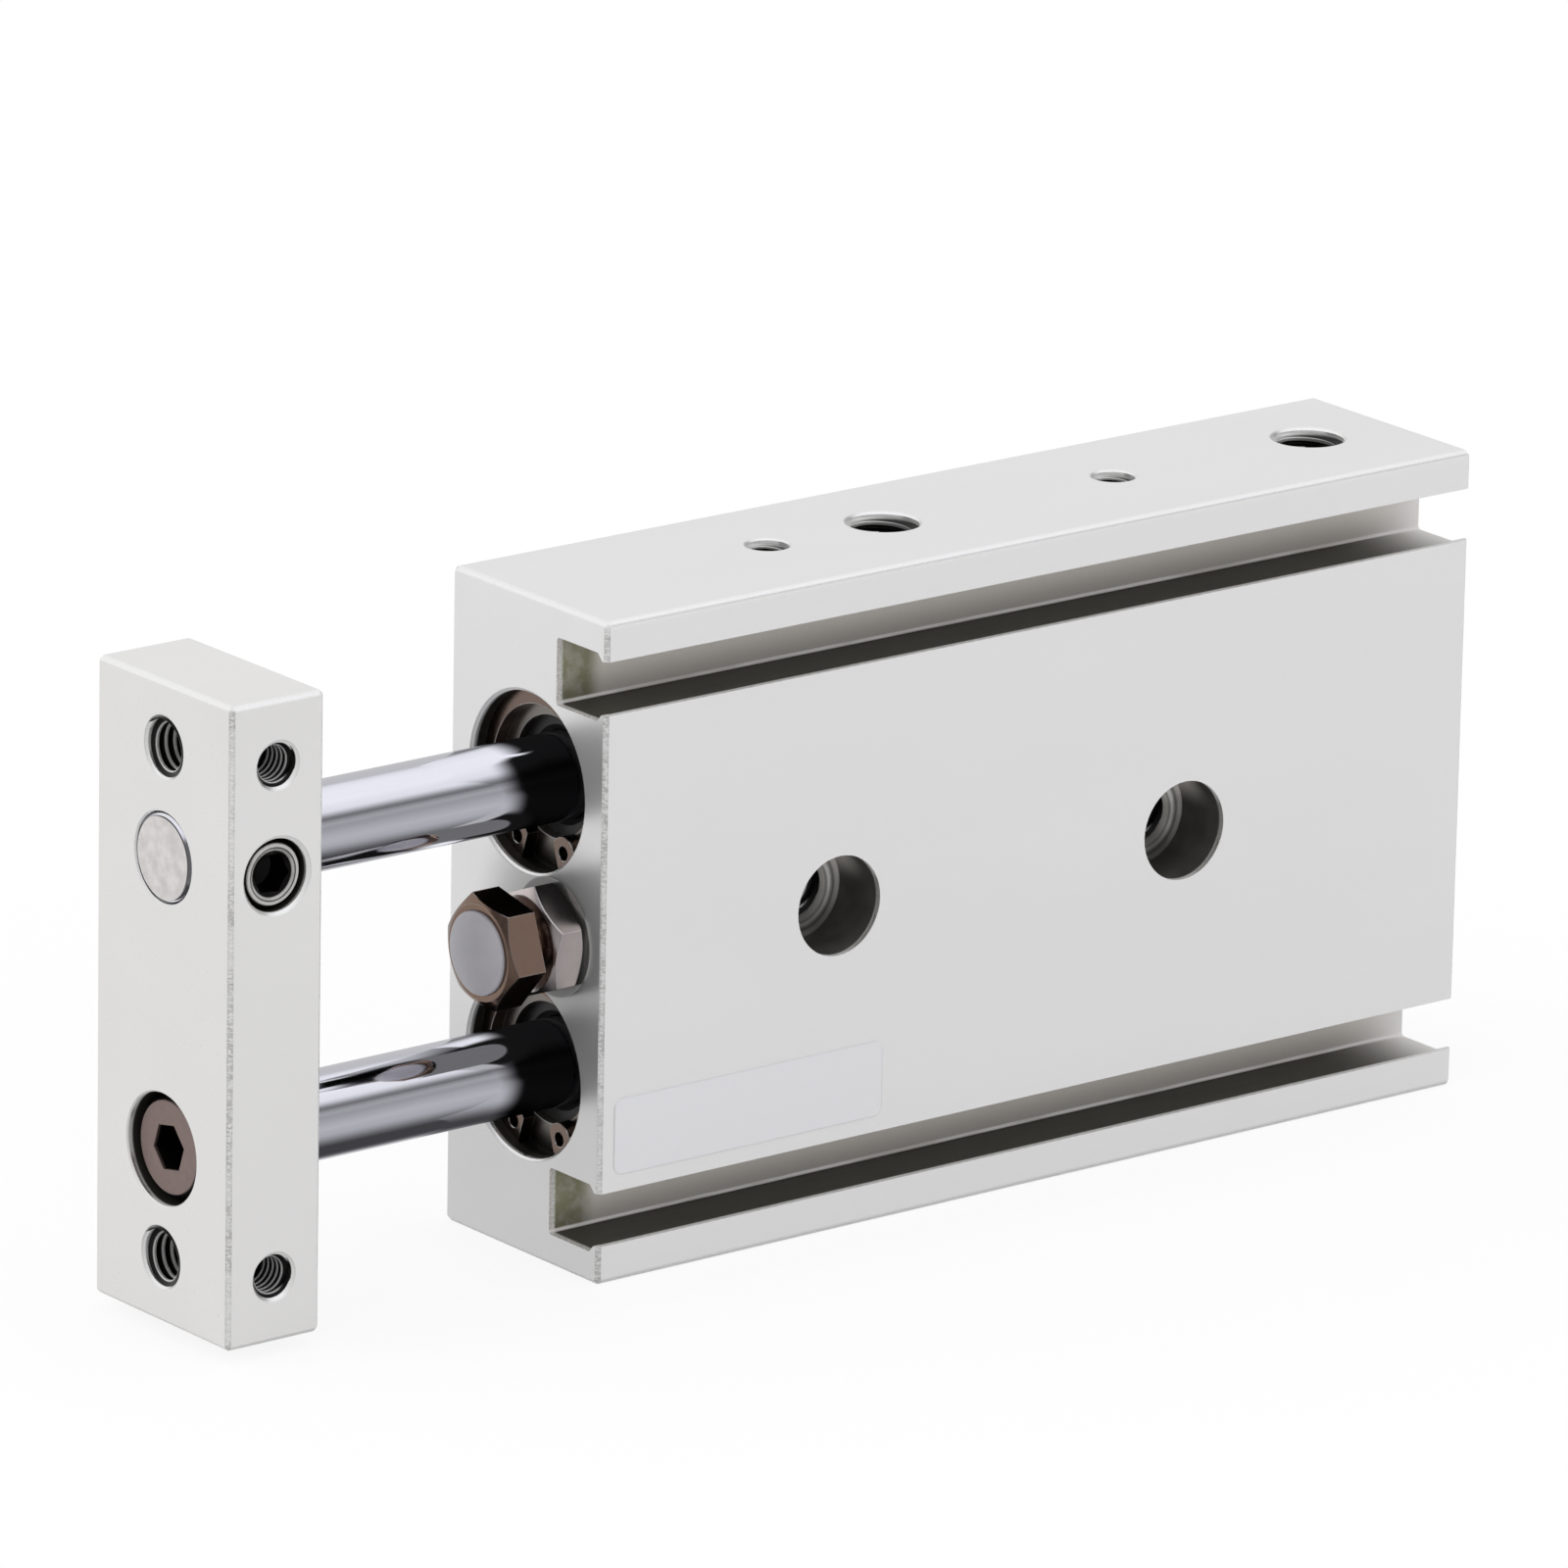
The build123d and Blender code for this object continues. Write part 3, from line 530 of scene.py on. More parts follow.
def cut_thread(name, open_above=False):
    """A cut thread: painted highlights on its crests between roots of painted shade, or roots near the top
    painted pale as lit, if open above.
    """
    material, shader = new_finish(name)
    colours = bpy.context.scene.finish_colours
    place = shader.place()
    crest = shader.node("Attribute", {"attribute_name": CREST}, output="Fac")
    fine = shader.noise(place, 8.0, 2.0, 0.5)
    root = tuple(colours.root_shade)
    if open_above:
        depth = housing_high.z / MM - shader.parts(place)[2]
        # Painted light: roots near the top are pale, where light falls in.
        root = shader.blend(shader.ramp(depth, *OPEN_WALL_DEPTH, 1, 0), root, tuple(colours.open_wall))
        # Painted shade: crests grow dimmer deeper in the hole.
        crest = crest * shader.ramp(depth, 0.45, 0.8, 1.0, 0.84)
    base = shader.blend(shader.ramp(crest, 0.72, 1.0), root, tuple(colours.crest_highlight))
    shader.finish(
        shader.gloss(
            Base_Color=shader.scaled(base, 0.92 + fine * 0.16),
            Metallic=0.6,
            Roughness=0.3 + (fine - 0.5) * 0.1,
        )
    )
    return material


def hard_chrome():
    """Ground and chromed steel with long faint streaks, and a turned, paler face at the plate's end with a
    painted shadow round its edge.
    """
    material, shader = new_finish("hard_chrome")
    colours = bpy.context.scene.finish_colours
    place = shader.place()
    along = abs(shader.parts(shader.node("TexCoord", output="Normal"))[0])
    face = shader.ramp(along, 0.85, 0.95)
    rings = shader.noise(shader.stretched(place, 1, 0.05, 0.05), 14.0, 2.0, 0.6)
    streaks = shader.noise(shader.stretched(place, 0.03, 1, 1), 2.6, 2.0, 0.5)
    mottle = shader.noise(place, 1.1, 3.0, 0.55)
    polished = shader.scaled(tuple(colours.chrome), 1 + (streaks - 0.5) * 0.08 + (rings - 0.5) * 0.04)
    turned = shader.scaled(tuple(colours.rod_face), shader.ramp(mottle, 0.3, 0.7, 0.86, 1.08))
    across, height = (part - upper_axis[axis] / MM for axis, part in enumerate(shader.parts(place)) if axis)
    radius = (across * across + height * height) ** 0.5
    rod_radius = (upper_rod_high.z - upper_rod_low.z) / 2 / MM
    # Painted shadow: a dark ring at the edge of the rod's end face, wider on one side, for the gap round it.
    shaded = shader.ramp(height * 0.7 - across, -0.6, 2.6)
    uneven_radius = radius + shaded * 0.16 + (mottle - 0.5) * 0.1
    rim_shadow = shader.ramp(uneven_radius, rod_radius - 0.18, rod_radius - 0.1) * (0.35 + shaded * 0.6)
    turned = shader.blend(rim_shadow, turned, tuple(colours.socket))
    shader.finish(
        shader.gloss(
            Base_Color=shader.blend(face, polished, turned),
            Metallic=1 - face * 0.8,
            Roughness=0.07 + (rings - 0.5) * 0.04 + face * 0.4,
            Normal=shader.bump(streaks * 0.6 + rings * 0.4, 0.08, 0.006),
        )
    )
    return material


def socket_screw(name, tint, axis, origin, shade_rings, roughness):
    """A hexagon socket screw: a face with rings of painted shade, given as (start, end) radii, and a socket
    painted black as shade.
    """
    material, shader = new_finish(name)
    socket = tuple(bpy.context.scene.finish_colours.socket)
    place = shader.place()
    depth = shader.parts(place)[axis] - origin[axis] / MM
    radius = shader.off_axis(place, axis, origin)
    spots = shader.noise(place, 1.8, 3.0, 0.6)
    fine = shader.noise(place, 11.0, 2.0, 0.5)
    # Painted shade: black in the socket below its mouth and in the given rings.
    dark = shader.ramp(depth, 0.06, 0.3)
    blur = 0.04
    for start, end in shade_rings:
        outside = shader.ramp(radius, start - blur, start + blur)
        inside = shader.ramp(radius, end - blur, end + blur, 1, 0)
        dark = dark.most(outside * inside)
    face = shader.scaled(tint, 1 + (spots - 0.5) * 0.4 + (fine - 0.5) * 0.12)
    shader.finish(
        shader.gloss(
            Base_Color=shader.blend(dark, face, socket),
            Metallic=0.7,
            Roughness=roughness + (spots - 0.5) * 0.1,
            Normal=shader.bump(fine, 0.15, 0.006),
        )
    )
    return material


def plated_metal(name, tint, roughness, wear=0.3, metallic=1.0, edges=0.0, end_tone=1.0):
    """Turned or plated metal with handling marks. Its edges can be brightened, partly as wear and partly as
    a painted highlight, its ends toned down.
    """
    material, shader = new_finish(name)
    place = shader.place()
    spots = shader.noise(place, 1.6, 3.0, 0.6)
    fine = shader.noise(place, 11.0, 2.0, 0.5)
    rounded = shader.node("Bevel", {"samples": 6}, {"Radius": 0.12 * MM})
    tone = 1 + (spots - 0.5) * 0.15 + (fine - 0.5) * 0.06
    if end_tone != 1:
        facing = abs(shader.parts(shader.node("TexCoord", output="Normal"))[0])
        tone = tone * shader.ramp(facing, 0.6, 0.8, 1, end_tone)
    base = shader.scaled(tint, tone)
    # Edges brightened where the rounded normal turns from the flat one: partly wear, partly a painted
    # highlight.
    if edges:
        flat = shader.node("NewGeometry", output="Normal")
        both = {0: rounded, 1: flat}
        turn = shader.node("VectorMath", {"operation": "DOT_PRODUCT"}, both, output="Value")
        edge_wear_and_highlight = tuple(bpy.context.scene.finish_colours.bevel)
        base = shader.blend(shader.ramp(turn, 0.88, 0.995, edges, 0), base, edge_wear_and_highlight)
    shader.finish(
        shader.gloss(
            Base_Color=base,
            Metallic=metallic,
            Roughness=roughness + (spots - 0.5) * wear * 0.3,
            Normal=rounded,
        )
    )
    return material


def moulded_urethane(name, tint):
    """Soft moulded urethane, faintly clouded."""
    material, shader = new_finish(name)
    place = shader.place()
    cloud = shader.noise(place, 0.7, 2.0, 0.5)
    fine = shader.noise(place, 14.0, 2.0, 0.5)
    tone = 1 + (cloud - 0.5) * 0.16 + (fine - 0.5) * 0.04
    shader.finish(
        shader.gloss(
            Base_Color=shader.scaled(tint, tone),
            Roughness=0.42 + (cloud - 0.5) * 0.1,
            Normal=shader.bump(fine, 0.1, 0.008),
        )
    )
    return material


def label_film():
    """Plain matt film with a darker edge and faint ripples where it was pressed on."""
    material, shader = new_finish("label_film")
    place = shader.place()
    ripple = shader.noise(place, 0.5, 2.0, 0.5)
    fine = shader.noise(place, 12.0, 2.0, 0.5)
    tint = tuple(bpy.context.scene.finish_colours.film)
    film = bpy.context.scene.film_sizes
    middle_x, middle_z = film_middle(film)
    along, _, height = shader.parts(place)
    from_end = film.width / 2 / MM - abs(along - middle_x / MM)
    from_side = film.height / 2 / MM - abs(height - middle_z / MM)
    edge = shader.ramp(from_end.least(from_side), 0.06, 0.14, 0.1, 0)
    shader.finish(
        shader.gloss(
            Base_Color=shader.scaled(tint, 1 + (fine - 0.5) * 0.03 - edge),
            Roughness=0.38 + (fine - 0.5) * 0.08,
            Normal=shader.bump(ripple, 0.25, 0.03),
        )
    )
    return material


def film_middle(film):
    """X and Z of the label film's middle."""
    return (
        housing_low.x + film.start + film.width / 2,
        housing_low.z + film.above_base + film.height / 2,
    )


def dress(node_names, material):
    """Puts a finish on nodes of the frame."""
    for name in node_names:
        for place in nodes[name].material_slots:
            place.material = material


def both_sides(*names):
    return [f"{side}_{name}" for side in ("upper", "lower") for name in names]


# Meshes


def add_piece(name, mesh_builder, material, body):
    """Turns a bmesh into a piece that rides on a body."""
    bmesh.ops.recalc_face_normals(mesh_builder, faces=mesh_builder.faces)
    mesh = bpy.data.meshes.new(name)
    mesh_builder.to_mesh(mesh)
    mesh_builder.free()
    for polygon in mesh.polygons:
        polygon.use_smooth = True
    mesh.set_sharp_from_angle(angle=radians(30))
    mesh.materials.append(material)
    piece = bpy.data.objects.new(name, mesh)
    bpy.context.scene.collection.objects.link(piece)
    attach(piece, body)


def join_rings(builder, first, second):
    """Faces between two rings with the same number of corners."""
    for corner in range(len(first)):
        beyond = (corner + 1) % len(first)
        builder.faces.new((first[corner], first[beyond], second[beyond], second[corner]))


def thread_section(diameter, pitch, inner):
    """Corners (along the axis, radius) of one turn's ridge, from its root to its crest and back."""
    minor = diameter / 2 - THREAD_DEPTH * pitch
    seat = 0.03 * MM
    low = diameter / 2 + seat if inner else minor - seat
    crest = minor if inner else diameter / 2
    return [(-7 / 16 * pitch, low), (-pitch / 8, crest), (pitch / 8, crest), (7 / 16 * pitch, low)]


def wind_ridge(builder, origin, into, start, end, diameter, pitch, inner, turn_steps=44):
    """Adds the helical ridge of a thread along an axis. It rises and ends over three tenths of a turn."""
    into = Vector(into).normalized()
    across = into.orthogonal().normalized()
    upright = into.cross(across)
    layers = builder.verts.layers.float
    crest_layer = layers.get(CREST) or layers.new(CREST)
    section = thread_section(diameter, pitch, inner)
    low = section[0][1]
    turns = (end - start) / pitch
    steps = ceil(turns * turn_steps)
    fade = turn_steps * 0.3
    rings = []
    for step in range(steps + 1):
        angle = 2 * pi * step / turn_steps
        along = start + pitch * step / turn_steps
        height = min(1.0, step / fade, (steps - step) / fade)
        direction = across * cos(angle) + upright * sin(angle)
        ring = []
        for offset, radius in section:
            reach = low + (radius - low) * height
            corner = builder.verts.new(origin + into * (along + offset) + direction * reach)
            corner[crest_layer] = height if radius != low else 0.0
            ring.append(corner)
        rings.append(ring)
    for first, second in zip(rings, rings[1:]):
        join_rings(builder, first, second)
    builder.faces.new(rings[0])
    builder.faces.new(rings[-1])


def add_threads(name, origins, into, span, diameter, pitch, finish, body, slot, inner=True):
    """One piece with a thread at each origin, which runs over a span (start, end) along a direction."""
    builder = bmesh.new()
    for origin in origins:
        wind_ridge(builder, Vector(origin), into, *span, diameter, pitch, inner)
    add_piece(name, builder, finish, body)


def rounded_outline(width, height, corner, steps=8):
    """Corners of a rounded rectangle, anticlockwise, about its middle."""
    points = []
    for quarter in range(4):
        sign_x = 1 if quarter in (0, 3) else -1
        sign_z = 1 if quarter in (0, 1) else -1
        for step in range(steps + 1):
            angle = pi / 2 * (quarter + step / steps)
            points.append(
                (
                    sign_x * (width / 2 - corner) + corner * cos(angle),
                    sign_z * (height / 2 - corner) + corner * sin(angle),
                )
            )
    return points


# Operators


class CYLINDER_OT_cut_threads(bpy.types.Operator):
    """Winds the ridges of every thread that shows"""

    bl_idname = "cylinder.cut_threads"
    bl_label = "Cut threads"

    def execute(self, context):
        sizes = context.scene.thread_sizes
        cut = cut_thread("cut_thread")
        open_cut = cut_thread("open_cut_thread", open_above=True)
        browned = bpy.data.materials["browned_bolt"]
        m3 = (3 * MM, sizes.pitch_m3)
        m4 = (4 * MM, sizes.pitch_m4)
        m5 = (5 * MM, sizes.pitch_m5)
        plate = ("rod_assembly", "anodised_plate")
        bar = ("cylinder_body", "anodised_extrusion")
        bolt = ("cylinder_body", "nickel_steel")

        first = sizes.first_turn
        clear = 0.1 * MM
        row = plate_high.z - sizes.face_hole_margin
        face_holes = [(plate_low.x, plate_middle.y, z) for z in (row, -row)]
        side_holes = [(plate_middle.x, plate_low.y, z) for z in (row, -row)]
        through_plate = (clear, plate_high.x - plate_low.x - first)
        into_side = (first, sizes.side_hole_depth)
        add_threads("plate_face_threads", face_holes, (1, 0, 0), through_plate, *m4, cut, *plate)
        add_threads("plate_side_threads", side_holes, (0, 1, 0), into_side, *m3, cut, *plate)

        line = housing_middle.y + sizes.port_line
        port_places = (housing_low.x + sizes.rod_port, housing_high.x - sizes.head_port)
        ports = [(x, line, housing_high.z) for x in port_places]
        into_port = (first, sizes.port_depth)
        add_threads("port_threads", ports, (0, 0, -1), into_port, *m5, open_cut, *bar)

        first_hole = housing_low.x + sizes.top_hole
        hole_places = (first_hole, first_hole + sizes.top_hole_pitch)
        top_holes = [(x, line, housing_high.z) for x in hole_places]
        into_top = (first, sizes.top_hole_depth)
        add_threads("top_hole_threads", top_holes, (0, 0, -1), into_top, *m3, open_cut, *bar)

        half_pitch = sizes.mount_hole_pitch / 2
        sink_floor = housing_low.y + sizes.mount_sink_depth
        mounting_holes = [(x, sink_floor, 0) for x in (-half_pitch, half_pitch)]
        through_bar = (first + 2 * clear, housing_high.y - sink_floor - first)
        add_threads("mounting_threads", mounting_holes, (0, 1, 0), through_bar, *m4, cut, *bar)

        behind_head = [(nut_low.x - sizes.bolt_neck, nut_middle.y, nut_middle.z)]
        into_nut = (clear, sizes.bolt_neck + 2 * clear)
        add_threads("stop_bolt_thread", behind_head, (1, 0, 0), into_nut, *m4, browned, *bolt, inner=False)
        return {"FINISHED"}


class CYLINDER_OT_finish_aluminium(bpy.types.Operator):
    """Gives the bar and the end plate their anodised finish"""

    bl_idname = "cylinder.finish_aluminium"
    bl_label = "Anodise bar and plate"

    def execute(self, context):
        colours = context.scene.finish_colours
        bar = anodised_aluminium("anodised_bar", housing_low, housing_high, tuple(colours.bar), slotted=True)
        plate = anodised_aluminium("anodised_plate", plate_low, plate_high, tuple(colours.plate))
        dress(["housing"], bar)
        dress(["end_plate"], plate)
        return {"FINISHED"}


class CYLINDER_OT_finish_rods(bpy.types.Operator):
    """Chromes the two rods"""

    bl_idname = "cylinder.finish_rods"
    bl_label = "Chrome rods"

    def execute(self, context):
        dress(both_sides("piston_rod"), hard_chrome())
        return {"FINISHED"}


class CYLINDER_OT_finish_screws(bpy.types.Operator):
    """Gives the plate's two screws their finish"""

    bl_idname = "cylinder.finish_screws"
    bl_label = "Finish screws"

    def execute(self, context):
        colours = context.scene.finish_colours
        cap_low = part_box("rod_cap_screw")[0]
        set_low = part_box("rod_set_screw")[0]
        cap_face = Vector((cap_low.x, lower_axis.y, lower_axis.z))
        set_face = Vector((plate_middle.x, set_low.y, upper_axis.z))
        # Radii of the rings of painted shade: the gap round the edge of the cap screw's head, and the set
        # screw's socket, groove and the gap round it.
        cap_rim_shade = [(3.2, 4.0)]
        set_socket_groove_and_rim_shade = [(0.0, 1.58), (1.76, 1.84), (2.1, 3.0)]
        oxide = socket_screw("black_oxide", tuple(colours.oxide), 0, cap_face, cap_rim_shade, 0.42)
        bright = socket_screw(
            "bright_screw", tuple(colours.bright_screw), 1, set_face, set_socket_groove_and_rim_shade, 0.25
        )
        dress(["rod_cap_screw"], oxide)
        dress(["rod_set_screw"], bright)
        return {"FINISHED"}


class CYLINDER_OT_finish_stop(bpy.types.Operator):
    """Plates the stop bolt and its nut and moulds the bumper"""

    bl_idname = "cylinder.finish_stop"
    bl_label = "Finish stop bolt"

    def execute(self, context):
        colours = context.scene.finish_colours
        nickel = plated_metal("bright_nickel", tuple(colours.nickel), 0.24, wear=0.2, edges=0.9)
        browned = plated_metal("browned_bolt", tuple(colours.bolt), 0.16, wear=0.2, edges=0.5, end_tone=0.5)
        dress(["stop_bolt_nut"], nickel)
        dress(["stop_bolt"], browned)
        dress(["stop_bolt_bumper"], moulded_urethane("grey_urethane", tuple(colours.bumper)))
        return {"FINISHED"}


class CYLINDER_OT_finish_bore_ends(bpy.types.Operator):
    """Finishes the snap rings, retainers, seals, glands and covers that close the bores"""

    bl_idname = "cylinder.finish_bore_ends"
    bl_label = "Finish bore ends"

    def execute(self, context):
        colours = context.scene.finish_colours
        spring = plated_metal("spring_steel", tuple(colours.spring), 0.24, edges=0.9)
        washer = plated_metal("retainer_washer", tuple(colours.washer), 0.3, edges=0.6)
        turned = plated_metal("turned_aluminium", tuple(colours.turned), 0.36)
        rubber = moulded_urethane("seal_rubber", tuple(colours.rubber))
        plug = plated_metal("plug_steel", tuple(colours.plug), 0.35)
        dress(both_sides("front_snap_ring", "rear_snap_ring"), spring)
        dress(both_sides("seal_retainer"), washer)
        dress(both_sides("gland", "head_cover", "piston", "magnet_holder"), turned)
        dress(both_sides("rod_seal", "gland_o_ring", "head_o_ring", "piston_seal"), rubber)
        dress(["port_plugs"], plug)
        return {"FINISHED"}


class CYLINDER_OT_finish_inner(bpy.types.Operator):
    """Finishes the bushes, cushions, magnets and wear rings inside the bores"""

    bl_idname = "cylinder.finish_inner"
    bl_label = "Finish inner pieces"

    def execute(self, context):
        colours = context.scene.finish_colours
        bronze = plated_metal("bearing_bronze", tuple(colours.bronze), 0.34)
        cushion = moulded_urethane("cushion_urethane", tuple(colours.cushion))
        magnet = plated_metal("bonded_magnet", tuple(colours.magnet), 0.5, metallic=0.4)
        wear = moulded_urethane("wear_ring_resin", tuple(colours.resin))
        dress(both_sides("gland_bush"), bronze)
        dress(both_sides("rod_side_bumper", "head_side_bumper"), cushion)
        dress(both_sides("magnet"), magnet)
        dress(both_sides("wear_ring"), wear)
        return {"FINISHED"}


class CYLINDER_OT_stick_label(bpy.types.Operator):
    """Sticks the bare label film on the bar's front face"""

    bl_idname = "cylinder.stick_label"
    bl_label = "Stick label film"

    def execute(self, context):
        film = context.scene.film_sizes
        middle_x, middle_z = film_middle(film)
        builder = bmesh.new()
        layers = [
            (housing_low.y + film.pressed_in, 0.0),
            (housing_low.y - film.thickness / 2, 0.0),
            (housing_low.y - film.thickness, film.rounding),
        ]
        rings = []
        for y, inset in layers:
            outline = rounded_outline(film.width - 2 * inset, film.height - 2 * inset, film.corner)
            rings.append([builder.verts.new((middle_x + x, y, middle_z + z)) for x, z in outline])
        for first, second in zip(rings, rings[1:]):
            join_rings(builder, first, second)
        builder.faces.new(rings[0])
        builder.faces.new(rings[-1])
        add_piece("label_film", builder, label_film(), "cylinder_body")
        return {"FINISHED"}


class CYLINDER_OT_set_stage(bpy.types.Operator):
    """Lays the pale floor, hangs the soft lamps and sets the camera"""

    bl_idname = "cylinder.set_stage"
    bl_label = "Set stage"

    def execute(self, context):
        scene = context.scene
        scene.view_settings.view_transform = "Standard"
        lay_floor(scene)
        set_world(scene)
        hang_lamps(scene)
        set_card(scene)
        set_camera(scene)
        return {"FINISHED"}


# Studio

# What gloss sees of the room, as (height of a direction, level of light). The height goes from -1
# straight down to 1 straight up.
ROOM_LEVELS = [
    (-1.0, 0.06),
    (-0.79, 0.06),
    (-0.70, 0.19),
    (-0.60, 0.36),
    (-0.50, 0.47),
    (-0.27, 0.53),
    (-0.03, 0.44),
    (0.14, 0.36),
    (0.26, 0.42),
    (0.36, 0.30),
    (0.43, 0.17),
    (0.50, 0.30),
    (0.57, 0.60),
    (0.64, 0.88),
    (0.74, 0.94),
    (0.80, 1.0),
]

# Where the cards' dark parts fade out, in millimetres from a rod's axis and from the nut's axis.
MOUTH_EDGE = (6.2, 9.2)
NUT_EDGE = (5.4, 7.2)


def lay_floor(scene):
    """A pale disc that shows the soft shadow close to the cylinder and is plain white further out."""
    builder = bmesh.new()
    bmesh.ops.create_circle(builder, cap_ends=True, segments=96, radius=scene.studio.floor_radius)
    mesh = bpy.data.meshes.new("floor")
    builder.to_mesh(mesh)
    builder.free()
    floor = bpy.data.objects.new("floor", mesh)
    floor.location = (housing_middle.x, housing_middle.y, housing_low.z)
    scene.collection.objects.link(floor)
    floor.visible_glossy = False
    material, shader = new_finish("pale_floor")
    seen = shader.node("LightPath", output="Is Camera Ray")
    for ray in ("Is Glossy Ray", "Is Transmission Ray"):
        seen = seen.most(shader.node("LightPath", output=ray))
    lit = shader.node("BsdfDiffuse", inputs={"Color": tuple(scene.studio.floor)})
    glow = shader.node("Emission", inputs={"Color": (1, 1, 1), "Strength": 1.0})
    point = shader.node("TexCoord", output="Object")
    distance = shader.node("VectorMath", {"operation": "LENGTH"}, {0: point}, output="Value")
    open_floor = shader.ramp(distance, 50 * MM, 130 * MM, 0.86, 1.0)
    surface = shader.node("MixShader", inputs={0: seen * open_floor, 1: lit, 2: glow})
    shader.finish(surface)
    mesh.materials.append(material)


def room_bands(shader, height):
    """The room's light for a direction's height, a touch bluer than white."""
    stops = [(rise * 0.5 + 0.5, (level, level, level * 1.03)) for rise, level in ROOM_LEVELS]
    return shader.node("ValToRGB", {"stops": stops}, {0: height * 0.5 + 0.5})


def set_world(scene):
    """White to the camera, even light to matt faces, and to gloss a banded room with a light back wall."""
    world = bpy.data.worlds.new("studio")
    scene.world = world
    world.use_nodes = True
    shader = Shader(world.node_tree)
    seen = shader.node("LightPath", output="Is Camera Ray")
    seen = seen.most(shader.node("LightPath", output="Is Transmission Ray"))
    glossy = shader.node("LightPath", output="Is Glossy Ray")
    white = shader.node("Background", inputs={"Color": (1, 1, 1), "Strength": 1.0})
    ambient = shader.node("Background", inputs={"Color": (1, 1, 1), "Strength": scene.studio.ambient})
    along, away, height = shader.parts(shader.node("TexCoord", output="Generated"))
    room = room_bands(shader, height)
    back_level = shader.ramp(along, -0.2, 0.3, 0.95, 0.6)
    back_wall = shader.vector(back_level, back_level, back_level)
    room = shader.blend(shader.ramp(away, 0.4, 0.65), room, back_wall)
    at_camera = shader.ramp(along, -0.5, -0.2, 1, 0) * shader.ramp(away, -0.45, -0.2, 1, 0)
    room = shader.blend(at_camera * shader.ramp(height, 0.35, 0.6, 1, 0), room, (0.14, 0.14, 0.14))
    reflected = shader.node("Background", inputs={"Color": room, "Strength": 1.0})
    surface = shader.node("MixShader", inputs={0: glossy, 1: ambient, 2: reflected})
    surface = shader.node("MixShader", inputs={0: seen, 1: surface, 2: white})
    shader.finish(surface, "World")


def hang_lamps(scene):
    """Soft lamps, as (name, place, width, power): above, beyond the rod end to the back, and in front."""
    lamps = [
        ("overhead_lamp", (0.0, -0.05, 0.55), 0.5, 0.34),
        ("left_lamp", (-0.50, 0.28, 0.25), 0.3, 0.58),
        ("front_lamp", (0.15, -0.6, 0.2), 0.4, 0.82),
    ]
    for name, place, size, power in lamps:
        lamp = bpy.data.lights.new(name, "AREA")
        lamp.shape = "DISK"
        lamp.size = size
        lamp.energy = power
        holder = bpy.data.objects.new(name, lamp)
        holder.location = place
        holder.rotation_euler = (housing_middle - Vector(place)).to_track_quat("-Z", "Y").to_euler()
        holder.visible_glossy = False
        scene.collection.objects.link(holder)


def mouth_level(shader, away, height, studio):
    """What the rods mirror: a dark bore mouth with a light streak, and the room further out."""
    above = height - height.sign() * (upper_axis.z / MM)
    across = away - upper_axis.y / MM
    radius = (across * across + above * above) ** 0.5
    rise = above / radius
    side = across / radius
    lift = shader.ramp(side, -0.35, -0.05, -0.2, shader.ramp(height, -1.0, 1.0, 1.0, 2.0))
    lift = lift.most(shader.ramp(rise, -0.1, 0.25, 0.5, -0.2))
    streak = shader.ramp(abs(side + 0.68 - radius * 0.09), 0.02, 0.08, 3.0, 0)
    streak = streak * shader.ramp(above, 0.0, 1.0) * shader.ramp(height, 0.0, 1.0)
    openness = shader.ramp(radius + lift + streak, *MOUTH_EDGE, studio.card, 1.0)
    return shader.scaled(room_bands(shader, rise * 0.8), openness)


def nut_level(shader, along, away, front, studio):
    """What the nut and the bar's end mirror: a grey sleeve, and behind it a card that is paler in front."""
    front_edge = housing_low.y / MM
    card = shader.ramp(away, front_edge + 1.8, front_edge + 2.2, 0.5, studio.card)
    on_sleeve = shader.ramp(along, front / MM - 0.3, front / MM - 0.1, 1, 0)
    level = card + (studio.nut_card - card) * on_sleeve
    return shader.vector(level, level, level)


def card_finish(front, studio):
    """The cards' light, which shows on their outer side only."""
    material, shader = new_finish("dark_card")
    place = shader.place()
    along, away, height = shader.parts(place)
    by_nut = shader.ramp(shader.off_axis(place, 0, nut_middle), *NUT_EDGE, 1, 0)
    level = shader.blend(
        by_nut, mouth_level(shader, away, height, studio), nut_level(shader, along, away, front, studio)
    )
    dark = shader.node("Emission", inputs={"Color": level, "Strength": 1.0})
    clear = shader.node("BsdfTransparent")
    behind = shader.node("NewGeometry", output="Backfacing")
    shader.finish(shader.node("MixShader", inputs={0: behind, 1: dark, 2: clear}))
    return material


def add_sleeve(builder, axis, start, end, radius, segments=48):
    """A tube about an axis along X. It faces outward if it starts below its end, and inward if above."""
    turns = [2 * pi * segment / segments for segment in range(segments)]
    corners = [(axis.y + radius * cos(turn), axis.z + radius * sin(turn)) for turn in turns]
    first, second = ([builder.verts.new((x, y, z)) for y, z in corners] for x in (start, end))
    join_rings(builder, first, second)


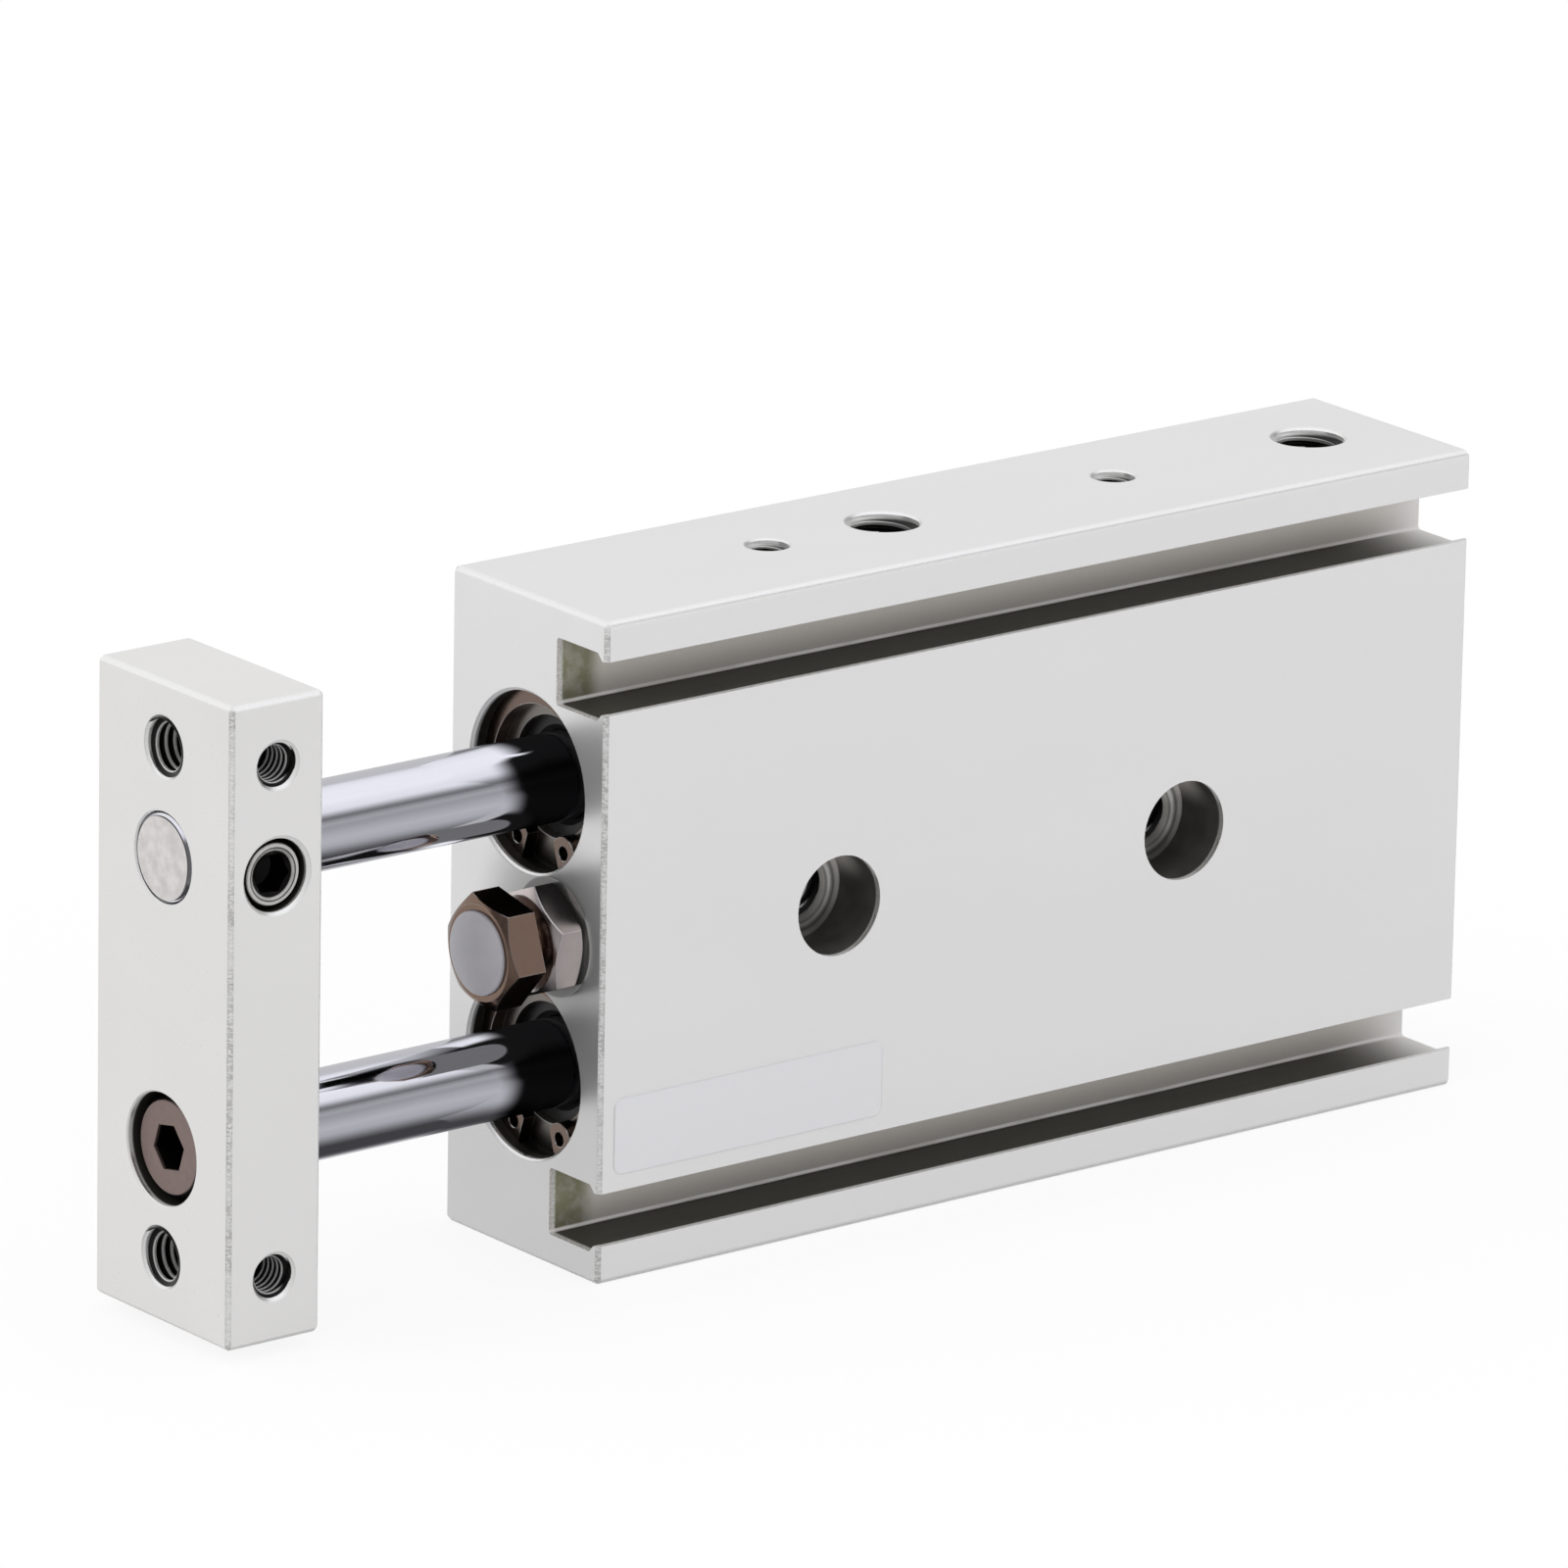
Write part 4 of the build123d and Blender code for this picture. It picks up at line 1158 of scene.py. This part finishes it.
# Painted reflections: the cards glow with the dark of the bore mouths and a light streak, the grey shade
# beside the nut, and the room further out, for rods, nut and bar's end to mirror.
def set_card(scene):
    """Dark cards at the bar's rod end, seen only by gloss and from outside, for rods and nut to mirror."""
    studio = scene.studio
    front = housing_low.x - studio.card_gap
    builder = bmesh.new()
    corners = [
        (housing_low.y, housing_low.z),
        (housing_low.y, housing_high.z),
        (housing_high.y, housing_high.z),
        (housing_high.y, housing_low.z),
    ]
    builder.faces.new([builder.verts.new((front, y, z)) for y, z in corners])
    for axis in (upper_axis, lower_axis):
        add_sleeve(builder, axis, front + studio.mouth_reach, front, studio.mouth_radius)
        add_sleeve(builder, axis, front - studio.rod_reach, front, studio.rod_radius)
    add_sleeve(builder, nut_middle, stop_low.x, front, studio.nut_radius)
    mesh = bpy.data.meshes.new("dark_card")
    builder.to_mesh(mesh)
    builder.free()
    mesh.materials.append(card_finish(front, studio))
    card = bpy.data.objects.new("dark_card", mesh)
    for ray in ("camera", "diffuse", "shadow", "transmission"):
        setattr(card, f"visible_{ray}", False)
    scene.collection.objects.link(card)


def set_camera(scene):
    """The camera stands where the photograph was taken from."""
    azimuth, elevation, roll = radians(-38.4192), radians(16.9557), radians(1.0917)
    shift, lift, distance = 1.5381 * MM, 6.1178 * MM, 947.3232 * MM
    back = Vector((sin(azimuth) * cos(elevation), -cos(azimuth) * cos(elevation), sin(elevation)))
    level = Vector((cos(azimuth), sin(azimuth), 0))
    upright = back.cross(level)
    right = level * cos(roll) + upright * sin(roll)
    up = upright * cos(roll) - level * sin(roll)
    aim = Vector((-15, -8.5, 0)) * MM
    place = aim + right * shift + up * lift + back * distance
    camera = bpy.data.cameras.new("camera")
    camera.lens = 322.4
    camera.sensor_width = 36
    camera.clip_start = 0.01
    camera.clip_end = 100
    holder = bpy.data.objects.new("camera", camera)
    scene.collection.objects.link(holder)
    turn = Matrix((right, up, back)).transposed()
    holder.matrix_world = Matrix.Translation(place) @ turn.to_4x4()
    scene.camera = holder


# Panel and registration


class CYLINDER_PT_dressing(bpy.types.Panel):
    """Lists the dressing steps and their settings"""

    bl_idname = "CYLINDER_PT_dressing"
    bl_label = "Twin rod cylinder"
    bl_space_type = "VIEW_3D"
    bl_region_type = "UI"
    bl_category = "Cylinder"

    def draw(self, context):
        for step in dressing_steps:
            self.layout.operator(step.bl_idname)
        for group in property_groups:
            box = self.layout.box()
            settings = getattr(context.scene, group)
            for name in settings.__annotations__:
                box.prop(settings, name)


dressing_steps = (
    CYLINDER_OT_finish_aluminium,
    CYLINDER_OT_finish_rods,
    CYLINDER_OT_finish_screws,
    CYLINDER_OT_finish_stop,
    CYLINDER_OT_finish_bore_ends,
    CYLINDER_OT_finish_inner,
    CYLINDER_OT_cut_threads,
    CYLINDER_OT_stick_label,
    CYLINDER_OT_set_stage,
)
property_groups = {
    "thread_sizes": ThreadSizes,
    "slot_sizes": SlotSizes,
    "film_sizes": FilmSizes,
    "finish_colours": FinishColours,
    "studio": StudioSettings,
}


def register():
    for name, group in property_groups.items():
        bpy.utils.register_class(group)
        setattr(bpy.types.Scene, name, bpy.props.PointerProperty(type=group))
    for step in dressing_steps:
        bpy.utils.register_class(step)
    bpy.utils.register_class(CYLINDER_PT_dressing)


def unregister():
    bpy.utils.unregister_class(CYLINDER_PT_dressing)
    for step in reversed(dressing_steps):
        bpy.utils.unregister_class(step)
    for name, group in reversed(list(property_groups.items())):
        delattr(bpy.types.Scene, name)
        bpy.utils.unregister_class(group)


def main():
    register()
    for step in dressing_steps:
        family, name = step.bl_idname.split(".")
        getattr(getattr(bpy.ops, family), name)()


if __name__ == "__main__":
    main()
